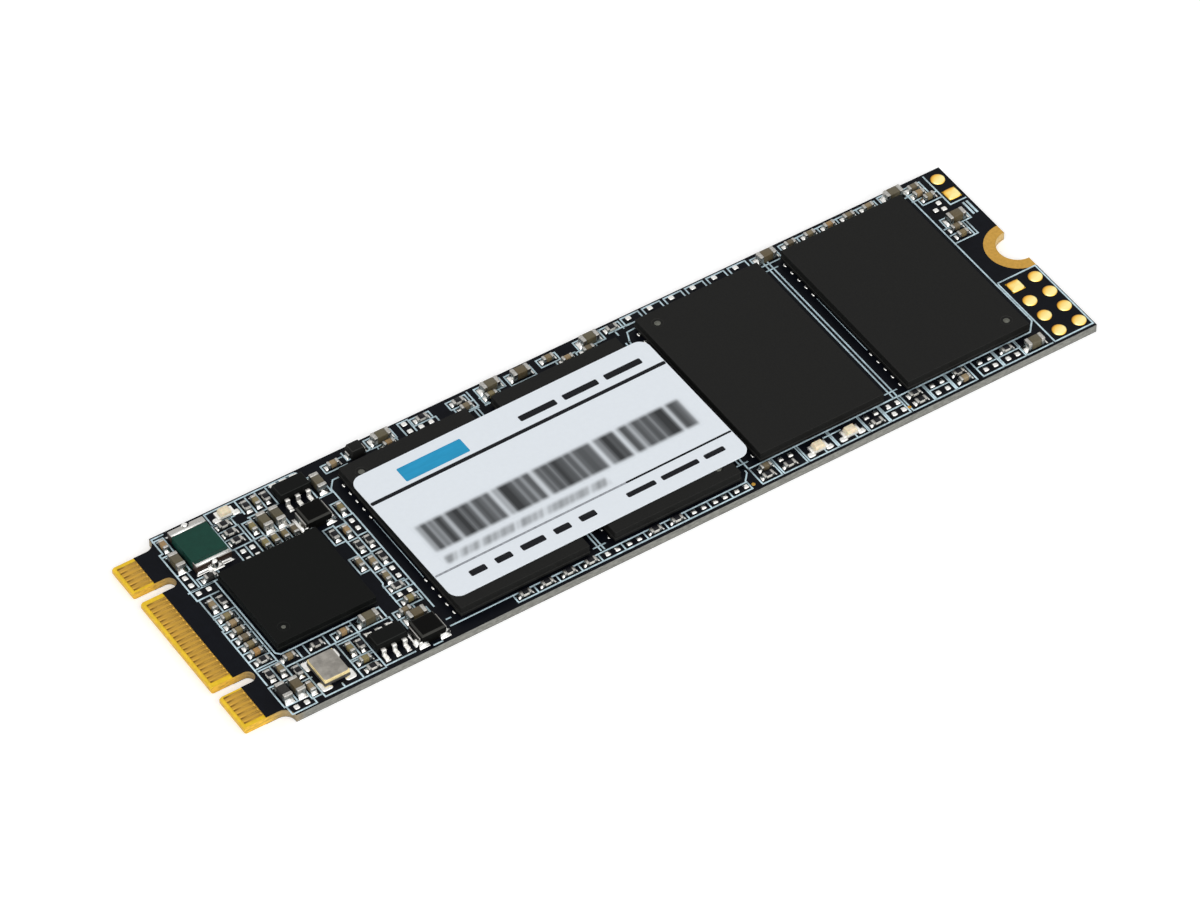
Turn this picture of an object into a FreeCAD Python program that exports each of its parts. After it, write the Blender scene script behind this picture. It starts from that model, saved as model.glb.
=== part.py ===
import FreeCAD, Part
import math
import os

# Gumstick solid state drive: a keyed circuit card with a controller and four memory chips.
# Millimetres. X runs from the tip of the contact tongue, Y across the card, Z up from its underside.

# Driving sizes, kept in the document's spreadsheet
SIZES = {
    # Card
    "board_thickness": 0.8,
    "mask_thickness": 0.035,
    "mask_setback": 1.95,
    "tongue_length": 4.0,
    "tongue_margin": 0.675,
    "shoulder_step": 1.075,
    "shoulder_radius": 0.9,
    "tip_bevel": 0.2,
    "key_width": 1.2,
    "key_depth": 3.5,
    "screw_radius": 1.75,
    "land_width": 1.0,
    # Gold fingers
    "contact_pitch": 0.5,
    "contact_width": 0.35,
    "contact_start": 0.25,
    "contact_length": 1.55,
    # Strips of board left for small parts round the chips
    "left_strip": 2.15,
    "middle_strip": 4.7,
    "flash_gap": 2.33,
    "end_strip": 5.16,
    "near_strip": 1.4,
    "far_strip": 2.6,
    "chip_stagger": 0.8,
    "controller_near": 6.15,
    "controller_far": 6.85,
    # Chips
    "controller_size": 9.0,
    "controller_height": 0.8,
    "controller_ball_pitch": 0.8,
    "flash_length": 12.0,
    "flash_width": 18.0,
    "flash_height": 0.93,
    "flash_ball_pitch": 1.0,
    "ball_height": 0.22,
    "ball_diameter": 0.45,
    "ball_inset": 1.3,
    "substrate_height": 0.26,
    "mould_inset": 0.04,
    "dot_radius": 0.5,
    "dot_depth": 0.04,
    "dot_inset": 1.35,
    # Label
    "label_overhang": 1.77,
    "label_near": 1.175,
    "label_far": 1.575,
    "label_thickness": 0.1,
    "label_radius": 1.0,
    "label_skew": 0.6,
    # Gold pads
    "pad_diameter": 1.25,
    "pad_pitch": 2.0,
    "pad_edge": 0.9,
    "header_corner": 1.2,
    "jumper_corner": 1.15,
    "pad_proud": 0.025,
    "land_size": 0.48,
    "land_spacing": 0.92,
    "land_height": 0.06,
    # Small two-ended parts
    "small_length": 1.0,
    "small_width": 0.5,
    "small_height": 0.5,
    "small_end": 0.25,
    "large_length": 1.6,
    "large_width": 0.8,
    "large_height": 0.8,
    "large_end": 0.35,
    "end_wrap": 0.02,
    "resistor_height": 0.35,
    "coat_height": 0.04,
    # Resettable fuse
    "fuse_length": 4.5,
    "fuse_width": 3.2,
    "fuse_height": 0.8,
    "fuse_end": 0.65,
    "fuse_notch": 0.35,
    # Quartz crystal
    "crystal_length": 2.75,
    "crystal_width": 2.35,
    "crystal_base_height": 0.25,
    "seal_inset": 0.05,
    "seal_width": 0.3,
    "seal_height": 0.33,
    "lid_inset": 0.08,
    "lid_height": 0.07,
    "lid_corner": 0.15,
    "crystal_pad_length": 1.1,
    "crystal_pad_width": 1.0,
    "crystal_pad_proud": 0.4,
    # Six-lead regulators
    "regulator_length": 2.9,
    "regulator_width": 1.6,
    "regulator_height": 1.0,
    "regulator_lift": 0.1,
    "regulator_draft": 0.12,
    "lead_span": 3.2,
    "lead_pitch": 0.95,
    "lead_width": 0.4,
    "lead_thickness": 0.15,
    "lead_foot": 0.45,
    # Power inductors
    "inductor_length": 2.5,
    "inductor_width": 2.0,
    "inductor_height": 1.1,
    "inductor_chamfer": 0.15,
    "inductor_end": 0.15,
    "inductor_end_width": 1.6,
    "inductor_end_height": 0.75,
    # Moulded diode
    "diode_length": 1.6,
    "diode_width": 1.2,
    "diode_height": 0.9,
    "diode_end": 0.15,
    "diode_end_width": 0.6,
    "diode_end_height": 0.45,
    # Light-emitting diodes
    "led_length": 1.6,
    "led_width": 0.8,
    "led_base_height": 0.25,
    "led_end": 0.3,
    "led_lens_height": 0.35,
    "led_lens_taper": 0.08,
}

# Gold fingers in three runs on each face, with the same number left out at each keying slot.
# The lower face's fingers lie half a pitch between those of the upper face.
TOP_COUNTS = (6, 19, 5)
BOTTOM_COUNTS = (5, 20, 4)
KEYED_COUNT = 4
TOP_COUNT = sum(TOP_COUNTS) + 2 * KEYED_COUNT

FLASH_COUNT = 4
PAD_ROWS = 4
BALL_SIDES = 4
DISC_SIDES = 12
ALONG = 0
ACROSS = 90
SIDES = (("low", -1), ("high", 1))

# Floor plan of the small parts: kind, direction, then x and y from the corner of their strip.
# A plan is drawn for a strip of the length named beside it and spreads with the strip.
HEAD_DRAWN = 15.85
CHIPS_DRAWN = 26.33

LEFT_STRIP = [
    ("vacant", ALONG, 0.72, 4.2),
    ("small", ACROSS, 0.40, 2.40),
    ("resistor", ACROSS, 1.35, 2.45),
    ("resistor", ALONG, 0.75, -4.55),
    ("resistor", ACROSS, 0.35, -6.15),
    ("small", ACROSS, 1.35, -6.15),
]
LEFT_COLUMN = {"kind": "small", "count": 6, "x": 0.75, "first": 0.80, "pitch": -0.88}

FAR_OF_CONTROLLER = [
    ("small", ACROSS, 0.50, 5.45),
    ("large", ACROSS, 0.40, 3.25),
    ("vacant", ACROSS, 0.20, 1.20),
    ("small_bead", ALONG, 1.85, 0.60),
    ("fuse", ACROSS, 2.80, 3.78),
    ("led", ALONG, 6.30, 5.85),
    ("resistor", ALONG, 5.60, 4.80),
    ("resistor", ALONG, 5.60, 3.80),
    ("resistor", ALONG, 5.60, 2.80),
    ("vacant", ACROSS, 5.45, 1.15),
    ("vacant", ACROSS, 6.30, 1.15),
    ("small", ACROSS, 7.30, 1.25),
    ("small", ACROSS, 8.18, 1.25),
    ("small", ACROSS, 9.06, 1.25),
    ("small", ACROSS, 9.94, 1.25),
    ("small", ACROSS, 7.35, 3.30),
    ("large", ACROSS, 8.35, 3.15),
    ("large", ACROSS, 9.50, 3.15),
    ("resistor", ACROSS, 8.10, 5.55),
    ("small", ACROSS, 9.00, 5.55),
    ("resistor", ACROSS, 9.90, 5.55),
    ("upper_regulator", ALONG, 11.90, 4.90),
    ("upper_inductor", ALONG, 11.90, 1.55),
    ("large", ACROSS, 14.05, 4.40),
    ("small", ACROSS, 14.20, 1.20),
]
NEAR_OF_CONTROLLER = [
    ("large_bead", ACROSS, 0.25, 2.25),
    ("large", ACROSS, 1.40, 2.20),
    ("vacant", ALONG, 0.90, 0.65),
    ("small", ACROSS, 2.30, 1.65),
    ("resistor", ACROSS, 2.40, 3.65),
    ("small", ALONG, 2.60, 5.25),
    ("crystal", ACROSS, 4.48, 2.54),
    ("resistor", ALONG, 5.05, 5.20),
    ("small", ALONG, 7.40, 5.10),
    ("small", ACROSS, 6.95, 3.35),
    ("resistor", ACROSS, 7.85, 3.30),
    ("small", ALONG, 7.35, 1.80),
    ("resistor", ALONG, 7.45, 0.85),
    ("large", ALONG, 9.75, 5.15),
    ("lower_regulator", ALONG, 9.80, 2.50),
    ("lower_inductor", ALONG, 12.90, 1.60),
    ("large", ALONG, 13.05, 3.40),
    ("small", ALONG, 12.60, 4.35),
]
MIDDLE_STRIP = [
    ("resistor", ACROSS, 1.10, 3.55),
    ("small", ACROSS, 1.15, -0.10),
    ("small", ACROSS, 2.15, 3.40),
    ("resistor", ACROSS, 2.15, 1.50),
    ("small", ACROSS, 2.10, -0.55),
    ("small", ACROSS, 2.15, -2.45),
    ("resistor", ALONG, 2.35, -3.70),
    ("vacant", ALONG, 2.55, -4.50),
    ("small", ALONG, 2.45, -5.40),
    ("vacant", ACROSS, 3.15, 3.75),
    ("resistor", ACROSS, 3.10, 1.60),
    ("resistor", ACROSS, 3.05, -0.45),
    ("vacant", ACROSS, 3.10, -2.27),
]
FAR_OF_FIRST_CHIPS = [
    ("small", ALONG, 0.35, 1.35),
    ("diode", ALONG, 2.55, 1.55),
    ("large", ALONG, 5.05, 1.70),
    ("small", ALONG, 5.25, 0.85),
    ("vacant", ACROSS, 7.45, 1.60),
    ("resistor", ALONG, 8.95, 1.80),
    ("vacant", ALONG, 8.95, 1.10),
    ("resistor", ALONG, 12.35, 1.75),
    ("small", ALONG, 12.55, 0.85),
    ("large", ALONG, 15.35, 1.65),
    ("small", ALONG, 14.95, 0.85),
    ("large", ALONG, 18.15, 1.50),
    ("small", ALONG, 20.95, 1.75),
    ("small", ALONG, 22.25, 0.85),
    ("small", ALONG, 24.25, 0.85),
    ("large", ALONG, 24.85, 1.65),
    ("resistor", ALONG, 27.15, 1.85),
]
FAR_OF_LAST_CHIPS = [
    ("large", ALONG, 13.49, 0.80),
    ("large", ALONG, 26.29, 1.00),
]
FAR_LANDS = {"kind": "land", "count": 6, "x": 0.29, "y": 1.30, "pitch": 2.10}
FAR_CAPACITORS = {"kind": "small", "count": 5, "x": 15.99, "y": 1.00, "pitch": 1.95}
NEAR_OF_LAST_CHIPS = [
    ("small", ALONG, 0.10, 1.60),
    ("resistor", ALONG, -0.20, 0.80),
    ("vacant", ALONG, 2.05, 1.70),
    ("resistor", ALONG, 1.90, 0.85),
    ("led", ALONG, 4.80, 1.10),
    ("led", ALONG, 7.90, 1.10),
    ("large", ALONG, 25.89, 0.90),
]
END_STRIP = [
    ("small", ALONG, 1.86, -1.00),
    ("small", ALONG, 1.86, -1.80),
    ("small", ALONG, 2.36, -2.55),
    ("land", ALONG, 2.66, -3.50),
    ("land", ALONG, 1.96, -4.10),
    ("land", ALONG, 2.66, -4.30),
    ("large", ALONG, 2.76, -5.80),
    ("small", ALONG, 2.16, -6.70),
    ("small", ALONG, 2.16, -7.60),
]

# Rows of like cells along the near edge, read from the left: R resistor, C capacitor, v vacant lands
CELL_KINDS = {"R": "resistor", "C": "small", "v": "vacant"}
CELL_ROWS = [
    {"chip": 0, "cells": "RRRRvvRRvvv", "x": 5.55, "y": 0.80, "pitch": 2.03},
    {"chip": 2, "cells": "vvRvR", "x": 10.34, "y": 1.72, "pitch": 2.15},
    {"chip": 2, "cells": "RvRvC", "x": 10.34, "y": 0.82, "pitch": 2.15},
    {"chip": 2, "cells": "vR", "x": 21.49, "y": 1.72, "pitch": 2.20},
    {"chip": 2, "cells": "vv", "x": 21.49, "y": 0.82, "pitch": 2.20},
]

# Formulas for the places that several pieces share
CONTROLLER_X = "(Sizes.tongue_length + Sizes.left_strip)"
FLASH_PITCH = "(Sizes.flash_length + Sizes.flash_gap)"
FLASH_X = f"({CONTROLLER_X} + Sizes.controller_size + Sizes.middle_strip)"
BOARD_LENGTH = (
    f"({FLASH_X} + {FLASH_COUNT - 1} * {FLASH_PITCH} + Sizes.flash_length + Sizes.end_strip)"
)
TONGUE_WIDTH = f"({TOP_COUNT - 1} * Sizes.contact_pitch + 2 * Sizes.tongue_margin)"
BOARD_WIDTH = (
    f"max({TONGUE_WIDTH} + 2 * Sizes.shoulder_step; "
    "Sizes.near_strip + Sizes.flash_width + Sizes.far_strip; "
    "Sizes.controller_near + Sizes.controller_size + Sizes.controller_far)"
)
BOARD_TOP = "Sizes.board_thickness"
LAMINATE_TOP = "(Sizes.board_thickness - Sizes.mask_thickness)"
CHIP_Z = "(Sizes.board_thickness + Sizes.ball_height)"

doc = FreeCAD.newDocument("gumstick_drive")
sheet = doc.addObject("Spreadsheet::Sheet", "Sizes")
for row, (name, value) in enumerate(SIZES.items(), start=1):
    sheet.set(f"A{row}", name)
    sheet.set(f"B{row}", str(value))
    sheet.setAlias(f"B{row}", name)
doc.recompute()

sub_parts = []


def size(name):
    """A driving size, read from the spreadsheet."""
    return float(getattr(sheet, name))


def add(kind, label, **bindings):
    """Add an object to the document and bind its properties to formulas on the sheet."""
    item = doc.addObject(kind, label)
    item.Label = label
    for prop, formula in bindings.items():
        item.setExpression(prop.replace("__", "."), str(formula))
    return item


def box(label, x, y, z, length, width, height):
    """A bound box, placed by its lowest corner."""
    return add(
        "Part::Box", label, Length=length, Width=width, Height=height,
        Placement__Base__x=x, Placement__Base__y=y, Placement__Base__z=z,
    )


def centred(label, x, y, z, length, width, height):
    """A bound box, placed by the middle of its foot."""
    return box(label, f"{x} - {length} / 2", f"{y} - {width} / 2", z, length, width, height)


def tapered(label, x, y, z, foot, head, height):
    """A bound block whose foot and head are rectangles of their own length and width."""
    item = add(
        "Part::Wedge", label, Ymin=0, Ymax=height,
        Xmin=f"-{foot[0]} / 2", Xmax=f"{foot[0]} / 2",
        Zmin=f"-{foot[1]} / 2", Zmax=f"{foot[1]} / 2",
        X2min=f"-{head[0]} / 2", X2max=f"{head[0]} / 2",
        Z2min=f"-{head[1]} / 2", Z2max=f"{head[1]} / 2",
    )
    item.Placement.Rotation = FreeCAD.Rotation(FreeCAD.Vector(1, 0, 0), 90)
    item.setExpression("Placement.Base.x", str(x))
    item.setExpression("Placement.Base.y", str(y))
    item.setExpression("Placement.Base.z", z)
    return item


def cylinder(label, x, y, z, radius, height):
    """A bound upright cylinder, placed by the middle of its foot."""
    return add(
        "Part::Cylinder", label, Radius=radius, Height=height,
        Placement__Base__x=x, Placement__Base__y=y, Placement__Base__z=z,
    )


def disc(label, x, y, z, radius, height):
    """A bound round pad or mark, drawn with few flat sides because it is small."""
    return add(
        "Part::Prism", label, Polygon=DISC_SIDES, Circumradius=radius, Height=height,
        Placement__Base__x=x, Placement__Base__y=y, Placement__Base__z=z,
    )


def cut(label, base, tool):
    """The base with the tool taken away."""
    item = add("Part::Cut", label)
    item.Base = base
    item.Tool = tool
    return item


def common(label, base, tool):
    """What the base and the tool share."""
    item = add("Part::Common", label)
    item.Base = base
    item.Tool = tool
    return item


def joined(label, pieces):
    """Several objects fused into one."""
    item = add("Part::MultiFuse", label)
    item.Shapes = pieces
    item.Refine = True
    return item


def edge_feature(kind, label, base, radius, wanted):
    """Fillet or chamfer the edges of a base whose middle points pass a test."""
    doc.recompute()
    item = add(kind, label)
    item.Base = base
    item.Edges = [
        (number, radius, radius)
        for number, edge in enumerate(base.Shape.Edges, start=1)
        if wanted(edge, edge.CenterOfMass)
    ]
    return item


def sub_part(item):
    """Keep a finished object as one of the drive's pieces."""
    sub_parts.append(item)
    return item


def group(label, solids):
    """A sub-part made of separate like solids."""
    item = doc.addObject("Part::Feature", label)
    item.Label = label
    item.Shape = Part.makeCompound(solids)
    return sub_part(item)


def block(x, y, z, length, width, height, turn=ALONG):
    """A plain box that stands at z with its middle at x, y."""
    if turn == ACROSS:
        length, width = width, length
    corner = FreeCAD.Vector(x - length / 2, y - width / 2, z)
    return Part.makeBox(length, width, height, corner)


def upright(edge):
    """True for a straight edge along Z."""
    return isinstance(edge.Curve, Part.Line) and abs(edge.Curve.Direction.z) > 0.99


def close(first, second):
    """True for two lengths that agree."""
    return abs(first - second) < 0.001


# Card outline: plate and bevelled tongue, with round inner corners at the shoulders
plate = box(
    "card_plate", "Sizes.tongue_length", f"-{BOARD_WIDTH} / 2", 0,
    f"{BOARD_LENGTH} - Sizes.tongue_length", BOARD_WIDTH, "Sizes.board_thickness",
)
tongue = box(
    "tongue_plate", 0, f"-{TONGUE_WIDTH} / 2", 0,
    "Sizes.tongue_length", TONGUE_WIDTH, "Sizes.board_thickness",
)
bevelled_tongue = edge_feature(
    "Part::Chamfer", "bevelled_tongue", tongue, size("tip_bevel"),
    lambda edge, middle: close(middle.x, 0) and close(middle.y, 0),
)
blank = joined("card_blank", [plate, bevelled_tongue])
half_tongue = tongue.Width.Value / 2
rounded_blank = edge_feature(
    "Part::Fillet", "rounded_blank", blank, size("shoulder_radius"),
    lambda edge, middle: upright(edge) and close(middle.x, size("tongue_length"))
    and close(abs(middle.y), half_tongue),
)



def key_place(counts, slot):
    """Middle of the fingers left out at a keying slot, in pitches from the middle of their row."""
    total = sum(counts) + 2 * KEYED_COUNT
    left_out = sum(counts[:slot]) + (slot - 1) * KEYED_COUNT
    return left_out + (KEYED_COUNT - total) / 2


# Keying slots, each midway between the gaps of the two faces, and the half-round screw notch
cutters = []
for number in (1, 2):
    middle = (key_place(TOP_COUNTS, number) + key_place(BOTTOM_COUNTS, number)) / 2
    key_y = f"{middle} * Sizes.contact_pitch"
    cutters.append(box(
        f"key_slot_{number}", 0, f"{key_y} - Sizes.key_width / 2", 0,
        "Sizes.key_depth - Sizes.key_width / 2", "Sizes.key_width", "Sizes.board_thickness",
    ))
    cutters.append(cylinder(
        f"key_round_{number}", "Sizes.key_depth - Sizes.key_width / 2", key_y, 0,
        "Sizes.key_width / 2", "Sizes.board_thickness",
    ))
cutters.append(cylinder(
    "screw_notch", BOARD_LENGTH, 0, 0, "Sizes.screw_radius", "Sizes.board_thickness",
))
outline = cut("card_outline", rounded_blank, joined("card_cutters", cutters))


def layer(label, z, height, start=0):
    """A slab of the card's outline between two heights, from a distance behind the tip."""
    slab = box(
        f"{label}_slab", start, f"-{BOARD_WIDTH} / 2", z,
        f"{BOARD_LENGTH} - {start}", BOARD_WIDTH, height,
    )
    return common(label, outline, slab)


# Laminate and the bare gold lands round the screw notch, on both faces
laminate = layer(
    "board_laminate", "Sizes.mask_thickness", "Sizes.board_thickness - 2 * Sizes.mask_thickness",
)
sub_part(laminate)
land_disc = {}
for side, z in (("top", LAMINATE_TOP), ("bottom", 0)):
    land_disc[side] = cylinder(
        f"land_disc_{side}", BOARD_LENGTH, 0, z,
        "Sizes.screw_radius + Sizes.land_width", "Sizes.mask_thickness",
    )
    sub_part(common(f"mounting_land_{side}", outline, land_disc[side]))


def round_pad(label, x, y):
    """A round gold pad that stands a little proud of the mask."""
    return disc(
        label, x, y, LAMINATE_TOP, "Sizes.pad_diameter / 2",
        "Sizes.mask_thickness + Sizes.pad_proud",
    )


def square_pad(label, x, y):
    """A square gold pad, which marks the first place of its row."""
    return box(
        label, f"{x} - Sizes.pad_diameter / 2", f"{y} - Sizes.pad_diameter / 2", LAMINATE_TOP,
        "Sizes.pad_diameter", "Sizes.pad_diameter", "Sizes.mask_thickness + Sizes.pad_proud",
    )


# Programming header pads in two rows, and the two jumper pads in the far corner
outer_x = f"{BOARD_LENGTH} - Sizes.pad_edge"
inner_x = f"{outer_x} - Sizes.pad_pitch"
header = []
for step in range(PAD_ROWS):
    pad_y = f"{step} * Sizes.pad_pitch + Sizes.header_corner - {BOARD_WIDTH} / 2"
    header.append(round_pad(f"outer_pad_{step + 1}", outer_x, pad_y))
    last = step == PAD_ROWS - 1
    inner_pad = square_pad if last else round_pad
    header.append(inner_pad(f"inner_pad_{step + 1}", inner_x, pad_y))
corner_y = f"{BOARD_WIDTH} / 2 - Sizes.jumper_corner"
jumper = [
    round_pad("jumper_pad_round", outer_x, corner_y),
    square_pad("jumper_pad_square", outer_x, f"{corner_y} - Sizes.pad_pitch"),
]
sub_part(joined("header_pads", header))
sub_part(joined("jumper_pads", jumper))

# Black solder mask on both faces, open round the lands and pads
top_sheet = layer("mask_sheet_top", LAMINATE_TOP, "Sizes.mask_thickness", "Sizes.mask_setback")
top_openings = joined("mask_openings", [land_disc["top"]] + header + jumper)
sub_part(cut("solder_mask_top", top_sheet, top_openings))
bottom_sheet = layer("mask_sheet_bottom", 0, "Sizes.mask_thickness", "Sizes.mask_setback")
sub_part(cut("solder_mask_bottom", bottom_sheet, land_disc["bottom"]))


def contact_row(label, counts, z):
    """Gold fingers side by side on one face of the tongue, left out at the keying slots."""
    fingers = []
    middle_x = size("contact_start") + size("contact_length") / 2
    y = -(sum(counts) + 2 * KEYED_COUNT - 1) * size("contact_pitch") / 2
    for count in counts:
        for step in range(count):
            fingers.append(block(
                middle_x, y, z, size("contact_length"), size("contact_width"),
                size("mask_thickness"),
            ))
            y += size("contact_pitch")
        y += KEYED_COUNT * size("contact_pitch")
    group(label, fingers)


contact_row("edge_contacts_top", TOP_COUNTS, size("board_thickness") - size("mask_thickness"))
contact_row("edge_contacts_bottom", BOTTOM_COUNTS, 0)


def chip(label, x, y, length, width, height, turned):
    """A moulded chip on its substrate, with a shallow dot that marks its first corner."""
    inset = "Sizes.mould_inset"
    substrate = box(f"{label}_substrate", x, y, CHIP_Z, length, width, "Sizes.substrate_height")
    mould = box(
        f"{label}_mould", f"{x} + {inset}", f"{y} + {inset}", f"{CHIP_Z} + Sizes.substrate_height",
        f"{length} - 2 * {inset}", f"{width} - 2 * {inset}", f"{height} - Sizes.substrate_height",
    )
    dot_x, dot_y = turned
    dot = disc(
        f"{label}_dot",
        f"{x} + {dot_x} * {length} + {1 - 2 * dot_x} * Sizes.dot_inset",
        f"{y} + {dot_y} * {width} + {1 - 2 * dot_y} * Sizes.dot_inset",
        f"{CHIP_Z} + {height} - Sizes.dot_depth", "Sizes.dot_radius", "Sizes.dot_depth",
    )
    return sub_part(cut(label, joined(f"{label}_package", [substrate, mould]), dot))


def solder_balls(label, item_box, pitch):
    """The outer ring of flattened balls under a chip, drawn as few-sided prisms."""
    radius = size("ball_diameter") / 2
    inset = size("ball_inset")
    counts = [
        int((span - 2 * inset) / pitch) for span in (item_box.XLength, item_box.YLength)
    ]
    start_x = item_box.Center.x - counts[0] * pitch / 2
    start_y = item_box.Center.y - counts[1] * pitch / 2
    turns = [2 * math.pi * side / BALL_SIDES for side in range(BALL_SIDES + 1)]
    balls = []
    for column in range(counts[0] + 1):
        for line in range(counts[1] + 1):
            if column not in (0, counts[0]) and line not in (0, counts[1]):
                continue
            x = start_x + column * pitch
            y = start_y + line * pitch
            corners = [
                FreeCAD.Vector(
                    x + radius * math.cos(turn), y + radius * math.sin(turn),
                    size("board_thickness"),
                )
                for turn in turns
            ]
            foot = Part.Face(Part.makePolygon(corners))
            balls.append(foot.extrude(FreeCAD.Vector(0, 0, size("ball_height"))))
    group(label, balls)


# Controller, and the four memory chips: the last two stand further in, and every second one is turned
near_edge = f"-{BOARD_WIDTH} / 2"
controller = chip(
    "controller_chip", CONTROLLER_X, f"{near_edge} + Sizes.controller_near",
    "Sizes.controller_size", "Sizes.controller_size", "Sizes.controller_height", (0, 0),
)
flash = []
for number in range(FLASH_COUNT):
    stagger = number // 2
    corner = (number % 2, 1 - number % 2)
    flash.append(chip(
        f"flash_chip_{number + 1}", f"{FLASH_X} + {number} * {FLASH_PITCH}",
        f"{near_edge} + Sizes.near_strip + {stagger} * Sizes.chip_stagger",
        "Sizes.flash_length", "Sizes.flash_width", "Sizes.flash_height", corner,
    ))
doc.recompute()
controller_box = controller.Shape.BoundBox
flash_boxes = [item.Shape.BoundBox for item in flash]
solder_balls("controller_solder_balls", controller_box, size("controller_ball_pitch"))
for number, item_box in enumerate(flash_boxes, start=1):
    solder_balls(f"flash_solder_balls_{number}", item_box, size("flash_ball_pitch"))

# Label over the first two memory chips, laid on a little askew
label_length = f"({FLASH_PITCH} + Sizes.flash_length + Sizes.label_overhang)"
label_width = "(Sizes.flash_width - Sizes.label_near - Sizes.label_far)"
label_sheet = centred("label_sheet", 0, 0, 0, label_length, label_width, "Sizes.label_thickness")
label = edge_feature(
    "Part::Fillet", "label", label_sheet, size("label_radius"),
    lambda edge, middle: upright(edge),
)
label.setExpression("Placement.Base.x", f"{FLASH_X} + {label_length} / 2")
label.setExpression(
    "Placement.Base.y", f"{near_edge} + Sizes.near_strip + Sizes.label_near + {label_width} / 2",
)
label.setExpression("Placement.Base.z", f"{CHIP_Z} + Sizes.flash_height")
label.setExpression("Placement.Rotation.Angle", "Sizes.label_skew")
sub_part(label)

# Small parts set out by the floor plan: each entry becomes a kind, a direction and a place
board_top = size("board_thickness")
card_box = plate.Shape.BoundBox
places = []


def set_out(plan, left, base, spread=1.0):
    """Put a plan's parts on the board, from the left end and base line of their strip."""
    for kind, turn, x, y in plan:
        places.append((kind, turn, left + x * spread, base + y))


def run_of(row, left, base, spread=1.0):
    """Put a straight run of like parts on the board."""
    for step in range(row["count"]):
        x = row["x"] + step * row["pitch"]
        places.append((row["kind"], ALONG, left + x * spread, base + row["y"]))


shoulder = size("tongue_length")
middle_line = controller_box.Center.y
head_spread = (flash_boxes[0].XMin - shoulder) / HEAD_DRAWN
chips_spread = (flash_boxes[1].XMax - flash_boxes[0].XMin) / CHIPS_DRAWN
set_out(LEFT_STRIP, shoulder, middle_line)
for step in range(LEFT_COLUMN["count"]):
    column_y = middle_line + LEFT_COLUMN["first"] + step * LEFT_COLUMN["pitch"]
    places.append((LEFT_COLUMN["kind"], ALONG, shoulder + LEFT_COLUMN["x"], column_y))
far_edge = card_box.YMax
first_far = far_edge - size("far_strip")
last_far = first_far + size("chip_stagger")
set_out(FAR_OF_CONTROLLER, shoulder, far_edge - size("controller_far"), head_spread)
set_out(NEAR_OF_CONTROLLER, shoulder, card_box.YMin, head_spread)
set_out(MIDDLE_STRIP, controller_box.XMax, middle_line)
set_out(FAR_OF_FIRST_CHIPS, flash_boxes[0].XMin, first_far, chips_spread)
set_out(FAR_OF_LAST_CHIPS, flash_boxes[2].XMin, last_far, chips_spread)
run_of(FAR_LANDS, flash_boxes[2].XMin, last_far, chips_spread)
run_of(FAR_CAPACITORS, flash_boxes[2].XMin, last_far, chips_spread)
set_out(NEAR_OF_LAST_CHIPS, flash_boxes[2].XMin, card_box.YMin, chips_spread)
set_out(END_STRIP, flash_boxes[3].XMax, far_edge)
for row in CELL_ROWS:
    for step, letter in enumerate(row["cells"]):
        x = flash_boxes[row["chip"]].XMin + (row["x"] + step * row["pitch"]) * chips_spread
        places.append((CELL_KINDS[letter], ALONG, x, card_box.YMin + row["y"]))


def places_of(kind):
    """Direction and place of each part of one kind."""
    return [(turn, x, y) for name, turn, x, y in places if name == kind]


def along(turn, x, y, distance):
    """A point at a distance from a part's middle, in the part's own long direction."""
    if turn == ACROSS:
        return x, y + distance
    return x + distance, y


def two_ended(kind, length, width, height, end):
    """Bodies and metal ends of one kind of two-ended part."""
    wrap = size("end_wrap")
    bodies = []
    ends = []
    for turn, x, y in places_of(kind):
        bodies.append(block(
            x, y, board_top + wrap, length - 2 * end, width - 2 * wrap, height - 2 * wrap, turn,
        ))
        for sign in (-1, 1):
            end_x, end_y = along(turn, x, y, sign * (length - end) / 2)
            ends.append(block(end_x, end_y, board_top, end, width, height, turn))
    return bodies, ends


SMALL = (size("small_length"), size("small_width"), size("small_height"), size("small_end"))
LARGE = (size("large_length"), size("large_width"), size("large_height"), size("large_end"))

# Ceramic capacitors in two sizes, and ferrite beads of the same sizes
small_bodies, small_ends = two_ended("small", *SMALL)
group("small_capacitor_bodies", small_bodies)
group("small_capacitor_terminals", small_ends)
large_bodies, large_ends = two_ended("large", *LARGE)
group("large_capacitor_bodies", large_bodies)
group("large_capacitor_terminals", large_ends)
small_beads, small_bead_ends = two_ended("small_bead", *SMALL)
large_beads, large_bead_ends = two_ended("large_bead", *LARGE)
group("ferrite_bodies", small_beads + large_beads)
group("ferrite_terminals", small_bead_ends + large_bead_ends)

# Thick-film resistors: a white ceramic chip with a dark coat between its metal ends
resistor_bodies, resistor_ends = two_ended(
    "resistor", size("small_length"), size("small_width"), size("resistor_height"),
    size("small_end"),
)
group("resistor_bodies", resistor_bodies)
group("resistor_terminals", resistor_ends)
coat_length = size("small_length") - 2 * size("small_end")
coat_z = board_top + size("resistor_height") - size("end_wrap")
group("resistor_coats", [
    block(x, y, coat_z, coat_length, size("small_width"), size("coat_height"), turn)
    for turn, x, y in places_of("resistor")
])

# Tinned lands with no part on them, in pairs or single
lands = []
for turn, x, y in places_of("vacant"):
    for sign in (-1, 1):
        lands.append(along(turn, x, y, sign * size("land_spacing") / 2))
for turn, x, y in places_of("land"):
    lands.append((x, y))
group("vacant_lands", [
    block(x, y, board_top, size("land_size"), size("land_size"), size("land_height"))
    for x, y in lands
])


def only_place(kind):
    """Place of the one part of its kind."""
    turn, x, y = places_of(kind)[0]
    return x, y


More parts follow.
